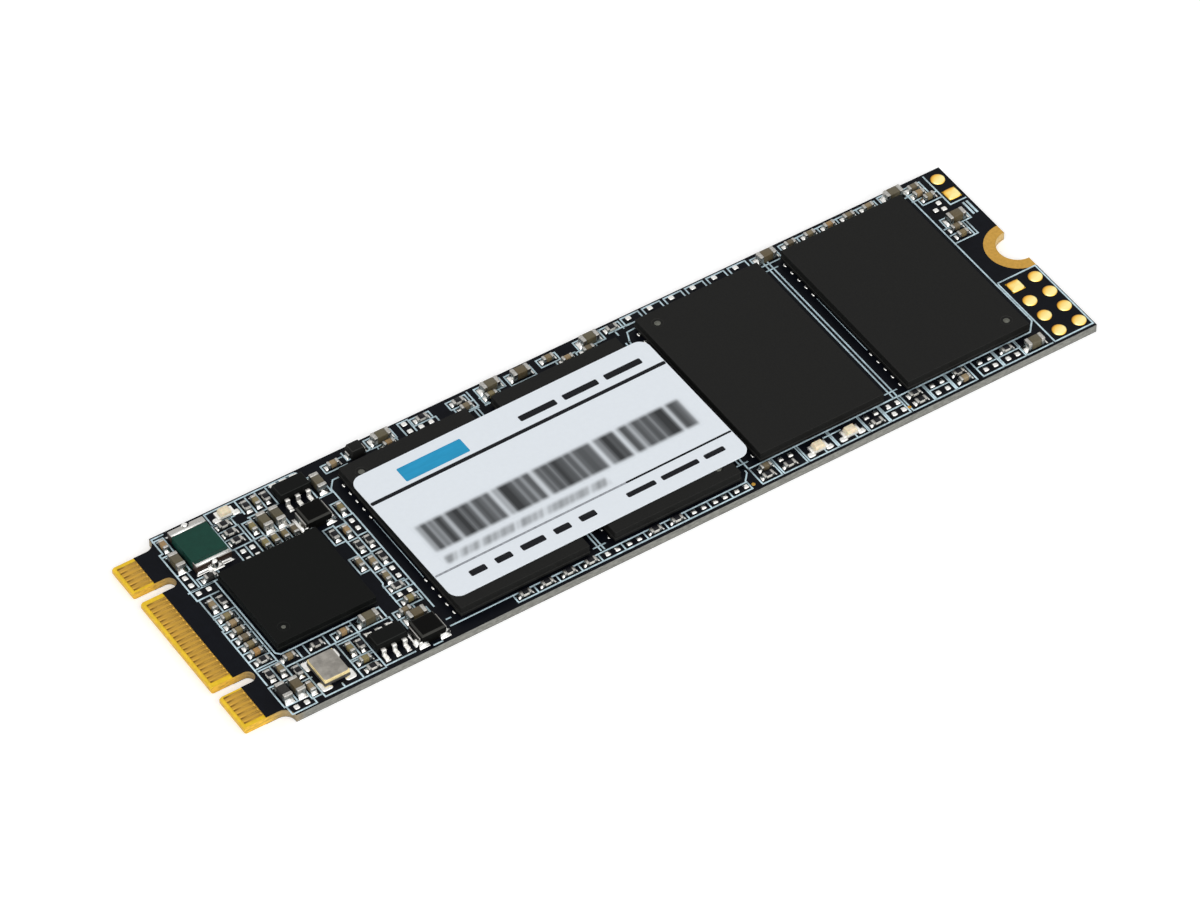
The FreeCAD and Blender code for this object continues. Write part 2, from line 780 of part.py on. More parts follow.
# Resettable fuse: a green block with plated ends, each with a half-round notch
fuse_x, fuse_y = only_place("fuse")
sub_part(centred(
    "fuse_body", fuse_x, fuse_y, BOARD_TOP,
    "Sizes.fuse_width", "(Sizes.fuse_length - 2 * Sizes.fuse_end)", "Sizes.fuse_height",
))
fuse_ends = []
for side, sign in SIDES:
    plated_end = centred(
        f"fuse_plating_{side}", fuse_x,
        f"{fuse_y} + {sign} * (Sizes.fuse_length - Sizes.fuse_end) / 2", BOARD_TOP,
        "Sizes.fuse_width", "Sizes.fuse_end", "Sizes.fuse_height",
    )
    notch = cylinder(
        f"fuse_notch_{side}", fuse_x, f"{fuse_y} + {sign} * Sizes.fuse_length / 2", BOARD_TOP,
        "Sizes.fuse_notch", "Sizes.fuse_height",
    )
    fuse_ends.append(cut(f"fuse_end_{side}", plated_end, notch))
sub_part(joined("fuse_terminals", fuse_ends))

# Quartz crystal: dark base on four pads, gold seal ring and a metal lid with cut corners
crystal_x, crystal_y = only_place("crystal")
base_z = f"({BOARD_TOP} + Sizes.land_height)"
seal_z = f"({base_z} + Sizes.crystal_base_height)"
lid_z = f"({seal_z} + Sizes.seal_height)"


def crystal_plate(label, z, inset, height):
    """A flat piece of the crystal's own outline, set in from its edge."""
    return centred(
        label, crystal_x, crystal_y, z,
        f"(Sizes.crystal_width - 2 * ({inset}))", f"(Sizes.crystal_length - 2 * ({inset}))", height,
    )


sub_part(crystal_plate("crystal_base", base_z, 0, "Sizes.crystal_base_height"))
seal_plate = crystal_plate("seal_plate", seal_z, "Sizes.seal_inset", "Sizes.seal_height")
seal_hole = crystal_plate(
    "seal_hole", seal_z, "Sizes.seal_inset + Sizes.seal_width", "Sizes.seal_height",
)
sub_part(cut("crystal_seal_ring", seal_plate, seal_hole))
lid_plate = crystal_plate("lid_plate", lid_z, "Sizes.lid_inset", "Sizes.lid_height")
sub_part(edge_feature(
    "Part::Chamfer", "crystal_lid", lid_plate, size("lid_corner"),
    lambda edge, middle: upright(edge),
))
crystal_pads = []
for side_x, sign_x in SIDES:
    for side_y, sign_y in SIDES:
        crystal_pads.append(centred(
            f"crystal_pad_{side_x}_{side_y}",
            f"{crystal_x} + {sign_x} * (Sizes.crystal_width / 2 + Sizes.crystal_pad_proud"
            " - Sizes.crystal_pad_width / 2)",
            f"{crystal_y} + {sign_y} * (Sizes.crystal_length / 2 + Sizes.crystal_pad_proud"
            " - Sizes.crystal_pad_length / 2)",
            BOARD_TOP, "Sizes.crystal_pad_width", "Sizes.crystal_pad_length", "Sizes.land_height",
        ))
sub_part(joined("crystal_pads", crystal_pads))


def gull_lead(x, y, side):
    """One bent lead, from the parting line of its body down to its foot on the board."""
    thickness = size("lead_thickness")
    root = size("regulator_width") / 2
    tip = size("lead_span") / 2
    knee = tip - size("lead_foot")
    top = board_top + size("regulator_lift") + (size("regulator_height") + thickness) / 2
    profile = [
        (root, top), (knee, top), (knee, board_top + thickness), (tip, board_top + thickness),
        (tip, board_top), (knee - thickness, board_top), (knee - thickness, top - thickness),
        (root, top - thickness), (root, top),
    ]
    corners = [
        FreeCAD.Vector(x - size("lead_width") / 2, y + side * across, z) for across, z in profile
    ]
    return Part.Face(Part.makePolygon(corners)).extrude(FreeCAD.Vector(size("lead_width"), 0, 0))


# Six-lead regulators: a body moulded in two drafted halves, and bent leads on both sides
for name in ("upper_regulator", "lower_regulator"):
    x, y = only_place(name)
    waist = ("Sizes.regulator_length", "Sizes.regulator_width")
    face = [f"({side} - 2 * Sizes.regulator_draft)" for side in waist]
    half = "Sizes.regulator_height / 2"
    foot_z = f"{BOARD_TOP} + Sizes.regulator_lift"
    halves = [
        tapered(f"{name}_lower_half", x, y, foot_z, face, waist, half),
        tapered(f"{name}_upper_half", x, y, f"{foot_z} + {half}", waist, face, half),
    ]
    sub_part(joined(f"{name}_body", halves))
    group(f"{name}_leads", [
        gull_lead(x + column * size("lead_pitch"), y, side)
        for side in (-1, 1) for column in (-1, 0, 1)
    ])


def end_plates(label, name, x, y, height):
    """Two upright metal plates that close the ends of a moulded part."""
    plates = [
        centred(
            f"{name}_plate_{side}", f"{x} + {sign} * (Sizes.{name}_length - Sizes.{name}_end) / 2",
            y, BOARD_TOP, f"Sizes.{name}_end", f"Sizes.{name}_end_width", height,
        )
        for side, sign in SIDES
    ]
    return sub_part(joined(label, plates))


# Power inductors: a moulded block with bevelled upper edges between two end plates
for name in ("upper_inductor", "lower_inductor"):
    x, y = only_place(name)
    core = centred(
        f"{name}_core", x, y, BOARD_TOP, "(Sizes.inductor_length - 2 * Sizes.inductor_end)",
        "Sizes.inductor_width", "Sizes.inductor_height",
    )
    sub_part(edge_feature(
        "Part::Chamfer", f"{name}_body", core, size("inductor_chamfer"),
        lambda edge, middle: close(middle.z, board_top + size("inductor_height")),
    ))
    end_plates(f"{name}_terminals", "inductor", x, y, "Sizes.inductor_end_height")

# Moulded diode on the far edge, between two end plates
diode_x, diode_y = only_place("diode")
diode_waist = ("(Sizes.diode_length - 2 * Sizes.diode_end)", "Sizes.diode_width")
diode_face = [f"({side} - 2 * Sizes.regulator_draft)" for side in diode_waist]
diode_half = "Sizes.diode_height / 2"
diode_halves = [
    centred("diode_lower_half", diode_x, diode_y, BOARD_TOP, *diode_waist, diode_half),
    tapered(
        "diode_upper_half", diode_x, diode_y, f"{BOARD_TOP} + {diode_half}",
        diode_waist, diode_face, diode_half,
    ),
]
sub_part(joined("diode_body", diode_halves))
end_plates("diode_terminals", "diode", diode_x, diode_y, "Sizes.diode_end_height")

# Light-emitting diodes: a pale base between metal ends, under a cream lens
led_pieces = {"led_bases": [], "led_lenses": [], "led_terminals": []}
led_core = "(Sizes.led_length - 2 * Sizes.led_end)"
led_foot = (led_core, "Sizes.led_width")
led_head = [f"({side} - 2 * Sizes.led_lens_taper)" for side in led_foot]
for number, (turn, x, y) in enumerate(places_of("led"), start=1):
    led_pieces["led_bases"].append(centred(
        f"led_base_{number}", x, y, BOARD_TOP, *led_foot, "Sizes.led_base_height",
    ))
    led_pieces["led_lenses"].append(tapered(
        f"led_lens_{number}", x, y, f"{BOARD_TOP} + Sizes.led_base_height", led_foot, led_head,
        "Sizes.led_lens_height",
    ))
    for side, sign in SIDES:
        led_pieces["led_terminals"].append(centred(
            f"led_end_{side}_{number}",
            f"{x} + {sign} * (Sizes.led_length - Sizes.led_end) / 2", y, BOARD_TOP,
            "Sizes.led_end", "Sizes.led_width", "Sizes.led_base_height",
        ))
for label, pieces in led_pieces.items():
    sub_part(joined(label, pieces))

# Nothing is written unless every object came out whole
doc.recompute()
for item in doc.Objects:
    if "Invalid" in item.State or "Error" in item.State:
        raise RuntimeError(f"{item.Label} failed: {item.State}")
for item in sub_parts:
    if item.Shape.isNull() or not item.Shape.isValid() or not item.Shape.Solids:
        raise RuntimeError(f"{item.Label} has no valid solid")

os.makedirs("parts", exist_ok=True)
for item in sub_parts:
    item.Shape.exportStep(f"parts/{item.Label}.step")
    print(item.Label, len(item.Shape.Solids), round(item.Shape.Volume, 4))
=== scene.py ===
import math
from collections import namedtuple

import bmesh
import bpy
from bpy.props import FloatProperty, FloatVectorProperty, PointerProperty
from mathutils import Matrix, Vector


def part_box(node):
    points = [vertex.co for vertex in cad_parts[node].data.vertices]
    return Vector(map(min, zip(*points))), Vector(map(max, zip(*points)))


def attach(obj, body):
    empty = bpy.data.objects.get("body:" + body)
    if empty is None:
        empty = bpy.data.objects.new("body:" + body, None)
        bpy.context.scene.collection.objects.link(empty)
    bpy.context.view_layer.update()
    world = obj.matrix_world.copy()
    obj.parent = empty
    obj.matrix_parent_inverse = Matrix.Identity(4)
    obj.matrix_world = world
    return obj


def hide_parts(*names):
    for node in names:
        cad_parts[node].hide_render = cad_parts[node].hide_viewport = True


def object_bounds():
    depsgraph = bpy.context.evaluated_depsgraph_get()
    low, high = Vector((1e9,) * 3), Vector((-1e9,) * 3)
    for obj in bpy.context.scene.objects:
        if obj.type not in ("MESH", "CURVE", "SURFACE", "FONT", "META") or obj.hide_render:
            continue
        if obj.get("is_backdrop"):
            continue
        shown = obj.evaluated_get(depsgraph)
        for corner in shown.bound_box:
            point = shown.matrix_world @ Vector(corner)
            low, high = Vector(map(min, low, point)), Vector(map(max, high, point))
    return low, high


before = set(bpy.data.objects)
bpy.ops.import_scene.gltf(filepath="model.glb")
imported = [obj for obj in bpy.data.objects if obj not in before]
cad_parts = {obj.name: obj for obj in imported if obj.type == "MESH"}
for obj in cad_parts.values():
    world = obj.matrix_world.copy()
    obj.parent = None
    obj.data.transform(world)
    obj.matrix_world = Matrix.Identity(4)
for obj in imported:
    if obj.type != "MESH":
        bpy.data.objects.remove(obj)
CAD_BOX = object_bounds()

bl_info = {
    "name": "Gumstick drive",
    "version": (1, 0, 0),
    "blender": (4, 5, 0),
    "location": "3D View > Sidebar > Drive",
    "description": "Dresses the packed model of a gumstick solid state drive",
    "category": "Object",
}

# Lengths in this file are millimetres in the CAD frame: X from the tongue's tip, Y across, Z up.
MM = 0.001
WELD = 0.0001
SHARP = math.radians(40)
FLAT = math.radians(1)
BODY = "root"
BOARD_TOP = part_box("solder_mask_top")[1].z / MM
MASK_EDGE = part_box("solder_mask_top")[0].x
FINGER_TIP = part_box("edge_contacts_top")[0].x
# How far from the tip the board's edge changes colour
TIP_RUN = 6
LABEL_LOW, LABEL_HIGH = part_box("label")
LABEL_MIDDLE = (LABEL_LOW + LABEL_HIGH) / 2
LABEL_SKEW = math.radians(0.6)

# Edge radii of pieces whose edges nobody would change
LAND_EDGE = 0.01
FILM_EDGE = 0.012
PLATE_EDGE = 0.02
FRAME_EDGE = 0.03
END_EDGE = 0.04
CASE_EDGE = 0.05
SOFT_EDGE = 0.06

# Fields of print on the label, from its middle: left, right, low and high
BARS_FIELD = (-12.8, 12.85, -3.0, 0.75)
NUMBER_FIELD = (-12.7, 3.2, -4.55, -3.15)
# How far the smeared print fades inside its field
SMEAR = 0.55

# Plated holes beside the near strip, and half their size
PLATED_HOLES = ((46.82, -10.3), (62.0, -10.2))
HOLE_HALF = Vector((0.17, 0.17, 0))

# Outlines between an ellipse and a rectangle, by the power that rounds their corners
ROUND = 2
SQUARE = 5

BLACK = (0, 0, 0, 1)
WHITE = (1, 1, 1, 1)

# Mask of the painted highlight: white on edges that slope, black on upright sides and level tops
HIGHLIGHT_SLOPES = ((0.3, BLACK), (0.5, WHITE), (0.85, WHITE), (0.97, BLACK))

# Way that the painted highlight on a domed gold pad faces
HIGHLIGHT_SIDE = Vector((0.3, -0.95, 0))

# The box round one solid of a node, and how many corners the solid has
Solid = namedtuple("Solid", "low high corners")


def linear(code):
    """An sRGB hex colour as linear red, green, blue and alpha."""
    channels = [int(code[place:place + 2], 16) / 255 for place in (1, 3, 5)]
    return [c / 12.92 if c <= 0.04045 else ((c + 0.055) / 1.055) ** 2.4 for c in channels] + [1.0]


def length(name, text, size):
    """A length property whose default is given in millimetres."""
    return FloatProperty(
        name=name, description=text, default=size * MM, min=0, precision=6, unit="LENGTH",
    )


def tint(name, text, code):
    """A colour property whose default is given as an sRGB hex colour."""
    return FloatVectorProperty(
        name=name, description=text, default=linear(code), size=4, min=0, max=1, subtype="COLOR",
    )


class DriveSizes(bpy.types.PropertyGroup):
    """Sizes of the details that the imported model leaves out."""

    chip_edge: length("Chip edge", "Radius of a moulded chip's edges", 0.06)
    ceramic_edge: length("Ceramic edge", "Radius of a ceramic body's edges", 0.045)
    metal_edge: length("Metal edge", "Radius of a metal end's edges", 0.07)
    lead_bend: length("Lead bend", "Radius of the bends in a lead", 0.06)
    label_edge: length("Label edge", "Radius of the label's cut edge", 0.03)
    print_height: length("Print height", "Height of the ink on the label", 0.01)
    ink_line: length("Legend line", "Width of a legend line on the board", 0.135)
    ink_height: length("Legend height", "Height of the legend ink", 0.015)
    frame_ends: length("Frame ends", "Legend frame's room beyond a part's metal ends", 0.42)
    frame_sides: length("Frame sides", "Legend frame's room beside a part", 0.2)
    fillet_reach: length("Fillet reach", "How far solder runs out from a metal end", 0.3)
    pad_dome: length("Pad dome", "Height of the dome on a gold pad", 0.16)
    land_dome: length("Land dome", "Height of the solder on a vacant land", 0.14)


class DriveColours(bpy.types.PropertyGroup):
    """Colours of the drive's finishes."""

    mask: tint("Solder mask", "Black lacquer of the board", "#0b0d13")
    laminate: tint("Laminate face", "Bare glass-epoxy face of the tongue", "#ecc22a")
    laminate_edge: tint("Board edge", "Routed long edges of the board", "#8c8c85")
    tongue_edge: tint("Tongue edge", "Bare edge at the tongue's tip", "#f2c040")
    # Brown painted shade on the board's edge at the end of the notches
    notch_edge_shade: tint("Notch edge", "Scorched edge at the end of the notches", "#b49a66")
    finger: tint("Gold fingers", "Hard gold of the contacts", "#c1963f")
    finger_gap: tint("Finger gaps", "Shaded laminate between the contacts", "#86611f")
    pad: tint("Gold pads", "Bright gold of the round pads", "#f7c455")
    # The pads' amber rims are painted shade and their pale crowns are a painted highlight
    pad_rim_shade: tint("Pad rims", "Amber of the round pads' steep rims", "#b87a1e")
    pad_highlight: tint("Pad crowns", "Pale crown of the round pads", "#ffefa2")
    land: tint("Screw land", "Matt gold round the screw notch", "#c49a4a")
    worn: tint("Notch wall", "Worn gold down the wall of the screw notch", "#d0b070")
    tin: tint("Tin", "Plated ends of the small parts", "#b0aea9")
    # The laminate's brown on the fuse's sawn sides, deepened with painted shade
    sawn_side_shade: tint("Sawn side", "Dark laminate at the sawn ends of the fuse", "#33241b")
    lead: tint("Leads", "Bright tin of the bent leads", "#f0eee8")
    solder: tint("Solder", "Bright solder", "#e4e3df")
    mould: tint("Memory compound", "Charcoal epoxy of the memory chips", "#1a1a19")
    fine_mould: tint("Controller compound", "Blacker epoxy of the controller", "#101110")
    mark: tint("Corner dot", "Grey dot at a chip's first corner", "#5f6058")
    ceramic: tint("Small capacitors", "Usual tan of the small capacitors", "#82745a")
    dark_ceramic: tint("Large capacitors", "Usual olive brown of the large capacitors", "#58513c")
    alumina: tint("Alumina", "White ceramic of the resistors", "#dcdad2")
    glaze: tint("Resistor glaze", "Dark coat on the resistors", "#1b1b1f")
    ferrite: tint("Ferrite", "Dark sintered bodies", "#2b2a28")
    choke: tint("Inductor", "Pressed iron powder of the inductors", "#0c0c0b")
    fuse: tint("Fuse coat", "Green coat of the fuse", "#0b3a2f")
    package: tint("Crystal base", "Dark ceramic of the crystal", "#3c3a37")
    lid: tint("Crystal lid", "Nickel lid of the crystal", "#96928b")
    seal: tint("Crystal seal", "Gold frame under the lid", "#fbe3a6")
    lens: tint("LED epoxy", "Cream lens of the light-emitting diodes", "#e9dabb")
    label: tint("Label film", "White film of the label", "#e6ecf2")
    ink: tint("Label ink", "Black print on the label", "#15161a")
    faded_ink: tint("Faded ink", "Rubbed part of the label's lower rule", "#9a9ea4")
    field: tint("Label field", "Blue colour field on the label", "#2b97c4")
    legend: tint("Legend ink", "Pale ink of the board's legend", "#c3dbe4")


# Materials


def add_node(tree, kind, inputs=None, stops=(), **settings):
    """Add a shader node with its settings, its colour stops if it is a ramp, and its inputs.

    Inputs go by name or number. Each takes a value, a socket or another node's first output."""
    node = tree.nodes.new(kind)
    for name, value in settings.items():
        setattr(node, name, value)
    if stops:
        first, last = node.color_ramp.elements
        first.position, first.color = stops[0]
        last.position, last.color = stops[-1]
        for position, colour in stops[1:-1]:
            node.color_ramp.elements.new(position).color = colour
    for key, value in (inputs or {}).items():
        if isinstance(value, bpy.types.Node):
            value = value.outputs[0]
        if isinstance(value, bpy.types.NodeSocket):
            tree.links.new(value, node.inputs[key])
        else:
            node.inputs[key].default_value = value
    return node


def shade(colour, red, green=None, blue=None):
    """A linear colour times one factor, or times one for each channel."""
    factors = (red, red if green is None else green, red if blue is None else blue)
    return [min(1.0, channel * factor) for channel, factor in zip(colour, factors)] + [1.0]


def per_metre(size):
    """Texture scale that gives a pattern of a size in millimetres."""
    return 1 / (size * MM)


def facing_up(tree):
    """How far a surface faces up: 1 on a top, 0 on an upright side and -1 underneath."""
    normal = add_node(tree, "ShaderNodeNewGeometry").outputs["True Normal"]
    return add_node(tree, "ShaderNodeSeparateXYZ", {"Vector": normal}).outputs["Z"]


def surfaced(tree, **sockets):
    """End a finish in its surface shader, whose sockets are named with underscores for spaces."""
    inputs = {key.replace("_", " "): value for key, value in sockets.items()}
    surface = add_node(tree, "ShaderNodeBsdfPrincipled", inputs)
    add_node(tree, "ShaderNodeOutputMaterial", {"Surface": surface})


def grained(tree, colour, grain, spread, relief, stretch=(1, 1, 1), wear_and_highlight=None, **sockets):
    """A finish of one colour with soft blotches and a low relief, both of a grain in millimetres.

    Sloping edges get a painted highlight, paler by a factor, where one is asked for."""
    place = add_node(tree, "ShaderNodeTexCoord").outputs["Object"]
    mapped = add_node(tree, "ShaderNodeMapping", {"Vector": place, "Scale": stretch})
    noise = add_node(tree, "ShaderNodeTexNoise", {
        "Vector": mapped, "Scale": per_metre(grain), "Detail": 3.0, "Roughness": 0.6,
    })
    tone = add_node(tree, "ShaderNodeValToRGB", {"Fac": noise}, [
        (0.35, shade(colour, 1 - spread)), (0.65, shade(colour, 1 + spread)),
    ])
    # Painted highlight: sloping edges made paler by a factor
    if wear_and_highlight:
        edges = add_node(tree, "ShaderNodeValToRGB", {"Fac": facing_up(tree)}, HIGHLIGHT_SLOPES)
        tone = add_node(tree, "ShaderNodeMixRGB", {
            "Fac": edges, "Color1": tone, "Color2": shade(colour, wear_and_highlight),
        })
    bump = add_node(tree, "ShaderNodeBump", {"Height": noise, "Distance": relief * MM})
    surfaced(tree, Base_Color=tone, Normal=bump, **sockets)


def black_lacquer(tree, colours):
    # Screened epoxy lacquer: a smooth navy-black skin with a faint orange peel
    grained(
        tree, colours.mask, grain=0.6, spread=0.15, relief=0.002,
        Roughness=0.36, IOR=1.5, Specular_IOR_Level=0.06,
    )


def pressed_glass_epoxy(tree, colours):
    # Pressed glass cloth in epoxy: a clear yellow face, and a routed edge of fibrous plies that is yellow
    # at the bevelled tip, brown with painted shade at the notches and grey with dust along the board
    place = add_node(tree, "ShaderNodeTexCoord").outputs["Object"]
    weave = add_node(tree, "ShaderNodeTexNoise", {"Vector": place, "Scale": per_metre(0.5), "Detail": 2.0})
    face = add_node(tree, "ShaderNodeValToRGB", {"Fac": weave}, [
        (0.35, shade(colours.laminate, 0.9)), (0.65, shade(colours.laminate, 1.06)),
    ])
    along = add_node(tree, "ShaderNodeSeparateXYZ", {"Vector": place}).outputs["X"]
    from_tip = add_node(tree, "ShaderNodeMapRange", {"Value": along, "From Max": TIP_RUN * MM})
    tone = add_node(tree, "ShaderNodeValToRGB", {"Fac": from_tip}, [
        (0.3, colours.tongue_edge), (0.55, colours.notch_edge_shade), (0.8, colours.laminate_edge),
    ])
    flattened = add_node(tree, "ShaderNodeMapping", {"Vector": place, "Scale": (0.3, 0.3, 1.0)})
    plies = add_node(tree, "ShaderNodeTexNoise", {
        "Vector": flattened, "Scale": per_metre(0.16), "Detail": 3.0, "Roughness": 0.7,
    })
    fibres = add_node(tree, "ShaderNodeValToRGB", {"Fac": plies}, [
        (0.32, shade(WHITE, 0.55)), (0.62, WHITE),
    ])
    edge = add_node(tree, "ShaderNodeMixRGB", {
        "Fac": 1.0, "Color1": tone, "Color2": fibres,
    }, blend_type="MULTIPLY")
    level = add_node(tree, "ShaderNodeMath", {0: facing_up(tree)}, operation="ABSOLUTE")
    is_face = add_node(tree, "ShaderNodeMath", {0: level, 1: 0.4}, operation="GREATER_THAN")
    colour = add_node(tree, "ShaderNodeMixRGB", {"Fac": is_face, "Color1": edge, "Color2": face})
    bump = add_node(tree, "ShaderNodeBump", {"Height": plies, "Distance": 0.006 * MM})
    surfaced(tree, Base_Color=colour, Normal=bump, Roughness=0.5, IOR=1.55, Specular_IOR_Level=0.2)


def shaded_laminate(tree, colours):
    # Bare epoxy in the narrow gaps between the fingers: brown at the tip, then gilded by them
    place = add_node(tree, "ShaderNodeTexCoord").outputs["Object"]
    along = add_node(tree, "ShaderNodeSeparateXYZ", {"Vector": place}).outputs["X"]
    between = add_node(tree, "ShaderNodeMapRange", {
        "Value": along, "From Min": FINGER_TIP, "From Max": MASK_EDGE,
    })
    noise = add_node(tree, "ShaderNodeTexNoise", {"Vector": place, "Scale": per_metre(0.8)})
    uneven = add_node(tree, "ShaderNodeMapRange", {"Value": noise, "To Min": -0.15, "To Max": 0.15})
    reach = add_node(tree, "ShaderNodeMath", {0: between, 1: uneven}, operation="ADD")
    tone = add_node(tree, "ShaderNodeValToRGB", {"Fac": reach}, [
        (0.1, colours.finger_gap), (0.42, colours.finger),
    ])
    surfaced(tree, Base_Color=tone, Roughness=0.6, IOR=1.55, Specular_IOR_Level=0.1)


def hard_gold(tree, colours):
    # Electroplated contact gold: satin, with fine wipe marks along the direction of insertion
    grained(
        tree, colours.finger, grain=0.3, spread=0.1, relief=0.002, stretch=(0.15, 1.0, 1.0),
        Metallic=1.0, Roughness=0.42,
    )


def highlit_gold(tree, colours):
    # Immersion gold over a domed pad, with light painted by the way each spot faces: amber painted shade
    # where the rim turns to the far side, then clear yellow, and a pale painted highlight where it turns
    # to the near side
    normal = add_node(tree, "ShaderNodeNewGeometry").outputs["Normal"]
    facing = add_node(tree, "ShaderNodeVectorMath", {0: normal, 1: HIGHLIGHT_SIDE}, operation="DOT_PRODUCT")
    lean = add_node(tree, "ShaderNodeMapRange", {
        "Value": facing.outputs["Value"], "From Min": -0.6, "From Max": 0.6,
    })
    tone = add_node(tree, "ShaderNodeValToRGB", {"Fac": lean}, [
        (0.13, colours.pad_rim_shade), (0.4, colours.pad), (0.54, colours.pad_highlight),
        (0.75, colours.pad_highlight), (1.0, colours.pad),
    ])
    surfaced(tree, Base_Color=tone, Metallic=1.0, Roughness=0.3)


def matt_gold(tree, colours):
    # Immersion gold over etched copper: even and silky
    grained(tree, colours.land, grain=0.25, spread=0.08, relief=0.004, Metallic=1.0, Roughness=0.55)


def worn_gold(tree, colours):
    # Gold down the wall of the screw notch, worn thin: pale tan, dull and bright from every side
    grained(tree, colours.worn, grain=0.3, spread=0.1, relief=0.004, Metallic=0.2, Roughness=0.5)


def barrel_plated_tin(tree, colours):
    # Barrel-plated matt tin on the ends of the small parts: grey and slightly grainy
    grained(tree, colours.tin, grain=0.12, spread=0.25, relief=0.01, Metallic=1.0, Roughness=0.36)


def sawn_tin(tree, colours):
    # Tin over the ends of a laminate that was sawn apart: grey on top, and down the sawn side the
    # laminate's brown deepened to brown-black with painted shade
    tone, metal = (
        add_node(tree, "ShaderNodeValToRGB", {"Fac": facing_up(tree)}, [(0.3, side), (0.7, top)])
        for side, top in ((colours.sawn_side_shade, colours.tin), (BLACK, WHITE))
    )
    surfaced(tree, Base_Color=tone, Metallic=metal, Roughness=0.42)


def dipped_tin(tree, colours):
    # Hot-dipped tin on the bent leads: brighter and smoother than barrel plating
    grained(tree, colours.lead, grain=0.15, spread=0.12, relief=0.006, Metallic=0.7, Roughness=0.3)


def reflowed_solder(tree, colours):
    # Reflowed solder: bright and liquid, with a faint frost where it cooled
    grained(tree, colours.solder, grain=0.15, spread=0.1, relief=0.01, Metallic=1.0, Roughness=0.2)


def filled_epoxy(tree, colours):
    # Transfer-moulded epoxy filled with silica: matt charcoal with a fine grain, drawn coarser to show,
    # and a paler line of painted highlight along the sloping edges
    grained(
        tree, colours.mould, grain=0.12, spread=0.12, relief=0.005, wear_and_highlight=4,
        Roughness=0.62, IOR=1.55, Specular_IOR_Level=0.08,
    )


def fine_filled_epoxy(tree, colours):
    # The same compound with a finer filler: blacker and smoother, with the same painted highlight on its
    # sloping edges
    grained(
        tree, colours.fine_mould, grain=0.1, spread=0.1, relief=0.003, wear_and_highlight=5,
        Roughness=0.55, IOR=1.55, Specular_IOR_Level=0.05,
    )


def laser_mark(tree, colours):
    # Moulding compound bleached by a laser: a matt grey dot
    grained(tree, colours.mark, grain=0.1, spread=0.15, relief=0.004, Roughness=0.8)


def titanate(tree, browns):
    """Fired barium titanate under an eggshell sheen, where each body takes one of some browns."""
    batch = add_node(tree, "ShaderNodeNewGeometry").outputs["Random Per Island"]
    last = len(browns) - 1
    tone = add_node(tree, "ShaderNodeValToRGB", {"Fac": batch}, [
        (number / last, brown) for number, brown in enumerate(browns)
    ])
    place = add_node(tree, "ShaderNodeTexCoord").outputs["Object"]
    noise = add_node(tree, "ShaderNodeTexNoise", {"Vector": place, "Scale": per_metre(0.12)})
    grain = add_node(tree, "ShaderNodeValToRGB", {"Fac": noise}, [
        (0.3, shade(WHITE, 0.8)), (0.65, WHITE),
    ])
    mixed = add_node(tree, "ShaderNodeMixRGB", {
        "Fac": 1.0, "Color1": tone, "Color2": grain,
    }, blend_type="MULTIPLY")
    surfaced(tree, Base_Color=mixed, Roughness=0.42, IOR=1.6, Specular_IOR_Level=0.3)


def tan_titanate(tree, colours):
    # Small capacitors of many batches: olive, tan and a few orange ones
    tan = colours.ceramic
    titanate(tree, [
        shade(tan, 0.6), tan, shade(tan, 1.15, 1.2, 0.85), shade(tan, 0.85, 0.8, 0.7),
        shade(tan, 1.5, 1.45, 1.4), shade(tan, 1.75, 1.25, 0.75),
    ])


def olive_titanate(tree, colours):
    # Large capacitors, fired darker: olive brown, some greyer
    olive = colours.dark_ceramic
    titanate(tree, [
        shade(olive, 0.9), shade(olive, 1.15), shade(olive, 1.2, 1.2, 1.35), shade(olive, 1.15, 1.0, 0.85),
    ])


def fired_alumina(tree, colours):
    # Fired white ceramic: chalky and even
    grained(tree, colours.alumina, grain=0.1, spread=0.06, relief=0.004, Roughness=0.6, IOR=1.7)


def glass_overglaze(tree, colours):
    # Screen-printed glass overglaze: near black and glossy, with softened edges
    grained(
        tree, colours.glaze, grain=0.2, spread=0.15, relief=0.004,
        Roughness=0.3, IOR=1.5, Specular_IOR_Level=0.15,
    )


def sintered_ferrite(tree, colours):
    # Sintered ferrite: dark grey-brown, dry and finely pitted
    grained(
        tree, colours.ferrite, grain=0.1, spread=0.3, relief=0.01,
        Roughness=0.55, Specular_IOR_Level=0.2,
    )


def pressed_powder(tree, colours):
    # Pressed iron powder under a lacquer: black with a soft gloss, and a grey painted highlight along its
    # sloping edges
    grained(
        tree, colours.choke, grain=0.1, spread=0.25, relief=0.006, wear_and_highlight=12,
        Roughness=0.34, IOR=1.5, Specular_IOR_Level=0.03,
    )


def green_epoxy(tree, colours):
    # Screened green epoxy on a small laminate: even, with a satin gloss
    grained(
        tree, colours.fuse, grain=0.5, spread=0.07, relief=0.004,
        Roughness=0.4, IOR=1.5, Specular_IOR_Level=0.15,
    )


def dark_alumina(tree, colours):
    # Co-fired dark alumina: dry and even
    grained(tree, colours.package, grain=0.15, spread=0.12, relief=0.004, Roughness=0.6)


def rolled_nickel(tree, colours):
    # Rolled nickel alloy, seam-welded: a warm grey sheet, clouded by handling and the welding heat
    grained(tree, colours.lid, grain=0.7, spread=0.2, relief=0.003, Metallic=1.0, Roughness=0.42)


def seal_gold(tree, colours):
    # Sintered gold-tin seal frame: pale yellow, dull and bright from every side
    grained(tree, colours.seal, grain=0.3, spread=0.08, relief=0.004, Metallic=0.2, Roughness=0.45)


def phosphor_epoxy(tree, colours):
    # Cast epoxy over phosphor: cream, a little translucent
    grained(
        tree, colours.lens, grain=0.35, spread=0.12, relief=0.01,
        Roughness=0.35, IOR=1.5, Subsurface_Weight=0.15, Subsurface_Scale=0.3 * MM,
    )


